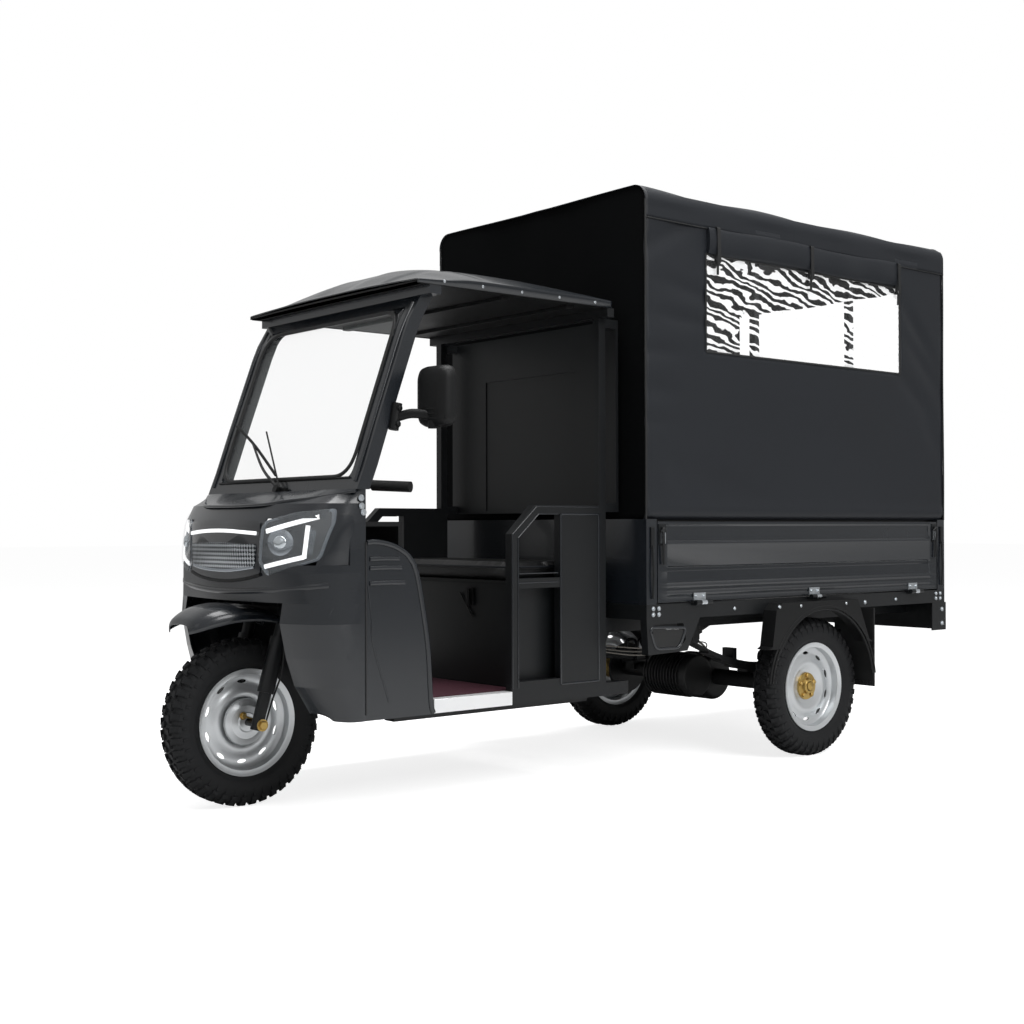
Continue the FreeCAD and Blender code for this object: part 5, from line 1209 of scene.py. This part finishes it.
def makeSeatCushion():
    low, high = (np.array(c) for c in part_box("seat_cushion"))
    low, high = low - (rearAxleX, 0, 0), high - (rearAxleX, 0, 0)
    inset = 0.008
    share = np.linspace(-1, 1, 37)
    outline = roundedLoop([(low[0] + inset, low[1] + inset), (high[0] - inset, low[1] + inset),
                           (high[0] - inset, high[1] - inset), (low[0] + inset, high[1] - inset)], 0.035, 9)
    middle = outline.mean(0)
    rings = []
    tall = high[2] - low[2]
    for z, size in ((0.0, 0.90), (0.002, 0.97), (0.25, 1.0), (0.62, 1.0), (0.82, 0.985), (0.93, 0.95),
                    (0.98, 0.86), (0.985, 0.6), (0.985, 0.25)):
        loop = middle + (outline - middle) * size
        rings.append(np.insert(loop, 2, low[2] + 0.001 + z * (tall - 0.010), axis=1))
    pad = makePiece("seat_pad", gridShape(np.stack(rings), closeCols=True, caps=True), "seat_vinyl",
                    "seat_lid", hides="seat_cushion", smooth=180, split=0)
    swell(pad, 0.006, 3.0, 0.012, low + (rearAxleX, 0, 0), high + (rearAxleX, 0, 0))
    loop = middle + (outline - middle) * 1.008
    path = np.insert(np.concatenate([loop, loop[:2]]), 2, low[2] + 0.72 * tall, axis=1)
    makePiece("seat_piping", tubeShape(path, 0.0035, 8), "canvas", "seat_lid")


# Cloth simulation: a fine remesh is blown up a little, its travel capped, and kept in its space.
def swell(piece, voxel, pressure, cap, low, high):
    remesh = piece.modifiers.new("remesh", "REMESH")
    remesh.mode, remesh.voxel_size, remesh.use_smooth_shade = "VOXEL", voxel, True
    settle(piece)
    start = meshPoints(piece)
    cloth = piece.modifiers.new("cloth", "CLOTH")
    cloth.settings.use_pressure = True
    cloth.settings.uniform_pressure_force = pressure
    cloth.settings.effector_weights.gravity = 0
    cloth.settings.quality = 5
    scene = bpy.context.scene
    for step in range(1, 21):
        scene.frame_set(step)
    settle(piece)
    scene.frame_set(1)
    travel = meshPoints(piece) - start
    length = np.linalg.norm(travel, axis=1, keepdims=True)
    travel *= np.minimum(1, cap / np.maximum(length, 1e-9))
    placed = np.clip(start + travel, np.asarray(low) + 0.0005, np.asarray(high) - 0.0005)
    piece.data.vertices.foreach_set("co", placed.ravel())
    piece.data.update()
    piece.data.shade_smooth()


def meshPoints(piece):
    points = np.empty(len(piece.data.vertices) * 3)
    piece.data.vertices.foreach_get("co", points)
    return points.reshape(-1, 3)


# Applies what a piece's modifiers make.
def settle(piece):
    view = bpy.context.evaluated_depsgraph_get()
    done = bpy.data.meshes.new_from_object(piece.evaluated_get(view))
    piece.modifiers.clear()
    piece.data = done


def makeRearBody():
    # step slots' bright rims, flare beads and bolts, serrated mudflap edges
    slot = roundedLoop([(0.878, .522), (0.70, .516), (0.735, .447), (0.85, .449)], 0.02, 8)
    slot = np.concatenate([slot, slot[:2]])
    rim = ribbonShape(np.stack([slot[:, 0], np.full(len(slot), 0.573), slot[:, 1]], 1),
                      np.broadcast_to([0.0, 1.0, 0.0], (len(slot), 3)), 0.010, 0.005, 0.5)
    # a flat black plate on the side face in each step slot: painted shade standing for the slot's shaded hollow
    hollow = plateShape(roundedLoop([(0.872, .516), (0.71, .511), (0.742, .453), (0.845, .454)], 0.016, 6),
                        1, 0.5735, 0.5750)
    makePiece("step_slot_rims", bothSides(rim), "body_paint", smooth=60)
    makePiece("step_slot_painted_shade", bothSides(hollow), "black_rubber")
    turn = np.linspace(0.12, np.pi - 0.12, 40)
    arch = [tubeShape(np.stack([r * np.cos(turn) + 0.012, np.full(40, 0.630),
                                0.26 + r * np.sin(turn) * 0.985], 1), 0.005, 8)
            for k, r in enumerate((0.300, 0.314))]
    makePiece("flare_beads", bothSides(joined(*arch)), "black_plastic", smooth=60)
    bolts = [boltShape((x, 0.6295, 0.572), (0, 1, 0), 0.006) for x in (0.27, 0.15, -0.12, -0.24)]
    bolts += [boltShape((-0.842, 0.574, z), (0, 1, 0), 0.007) for z in (0.520, 0.462)]
    makePiece("flare_bolts", bothSides(joined(*bolts)), "zinc_steel")
    low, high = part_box("mudflaps")
    teeth = [blockShape((-0.300, y, 0.246), (-0.286, y + 0.008, 0.262))
             for y in np.arange(0.50, 0.625, 0.016)]
    ridges = [blockShape((-0.3005, y, 0.262), (-0.2985, y + 0.003, 0.50)) for y in np.arange(0.50, 0.625, 0.020)]
    makePiece("mudflap_ribs", bothSides(joined(*teeth, *ridges)), "black_rubber")


def makeUnderbody():
    # spring U-bolts and clamps, motor cooling fins and the wires along the rail
    parts = []
    for x in (-0.035, 0.035):
        path = smoothLine([(x, 0.335, 0.29), (x, 0.335, 0.37), (x, 0.365, 0.385), (x, 0.395, 0.37),
                           (x, 0.395, 0.29)], 30)
        parts.append(tubeShape(path, 0.006, 8))
    parts.append(blockShape((-0.055, 0.325, 0.288), (0.055, 0.405, 0.298)))
    clamp = [blockShape((x, 0.338, 0.30 + abs(x) * 0.25), (x + 0.02, 0.392, 0.35 + abs(x) * 0.25))
             for x in (-0.25, 0.23)]
    makePiece("spring_clamps", bothSides(joined(*parts, *clamp)), "frame_paint")
    fins = [turnedShape([(y, 0.083), (y + 0.004, 0.083), (y + 0.004, 0.088), (y, 0.088)], (0.150, 0, 0.276), 48)
            for y in np.arange(-0.095, 0.09, 0.016)]
    makePiece("motor_fins", joined(*fins), "cast_iron")
    wires = []
    for k, (lift, out) in enumerate(((0.0, 0.0), (0.012, 0.010), (-0.010, 0.016))):
        wires.append(tubeShape(smoothLine([(0.90, 0.30 + out, 0.44 + lift), (0.66, 0.33 + out, 0.415 + lift),
                                           (0.42, 0.30 + out, 0.445 - lift), (0.20, 0.20 + out, 0.40 + lift),
                                           (0.16, 0.16, 0.36)], 50), 0.0025, 6))
    makePiece("motor_wires", joined(*wires), "wire_skin")


makeShields()
makeFrontFender()
makeRoof()
makeMirror()
makeScreenTrim()
makeGuards()
makeSeatCushion()
makeRearBody()
makeUnderbody()
print("cab, seat, rear body and underbody are finished")
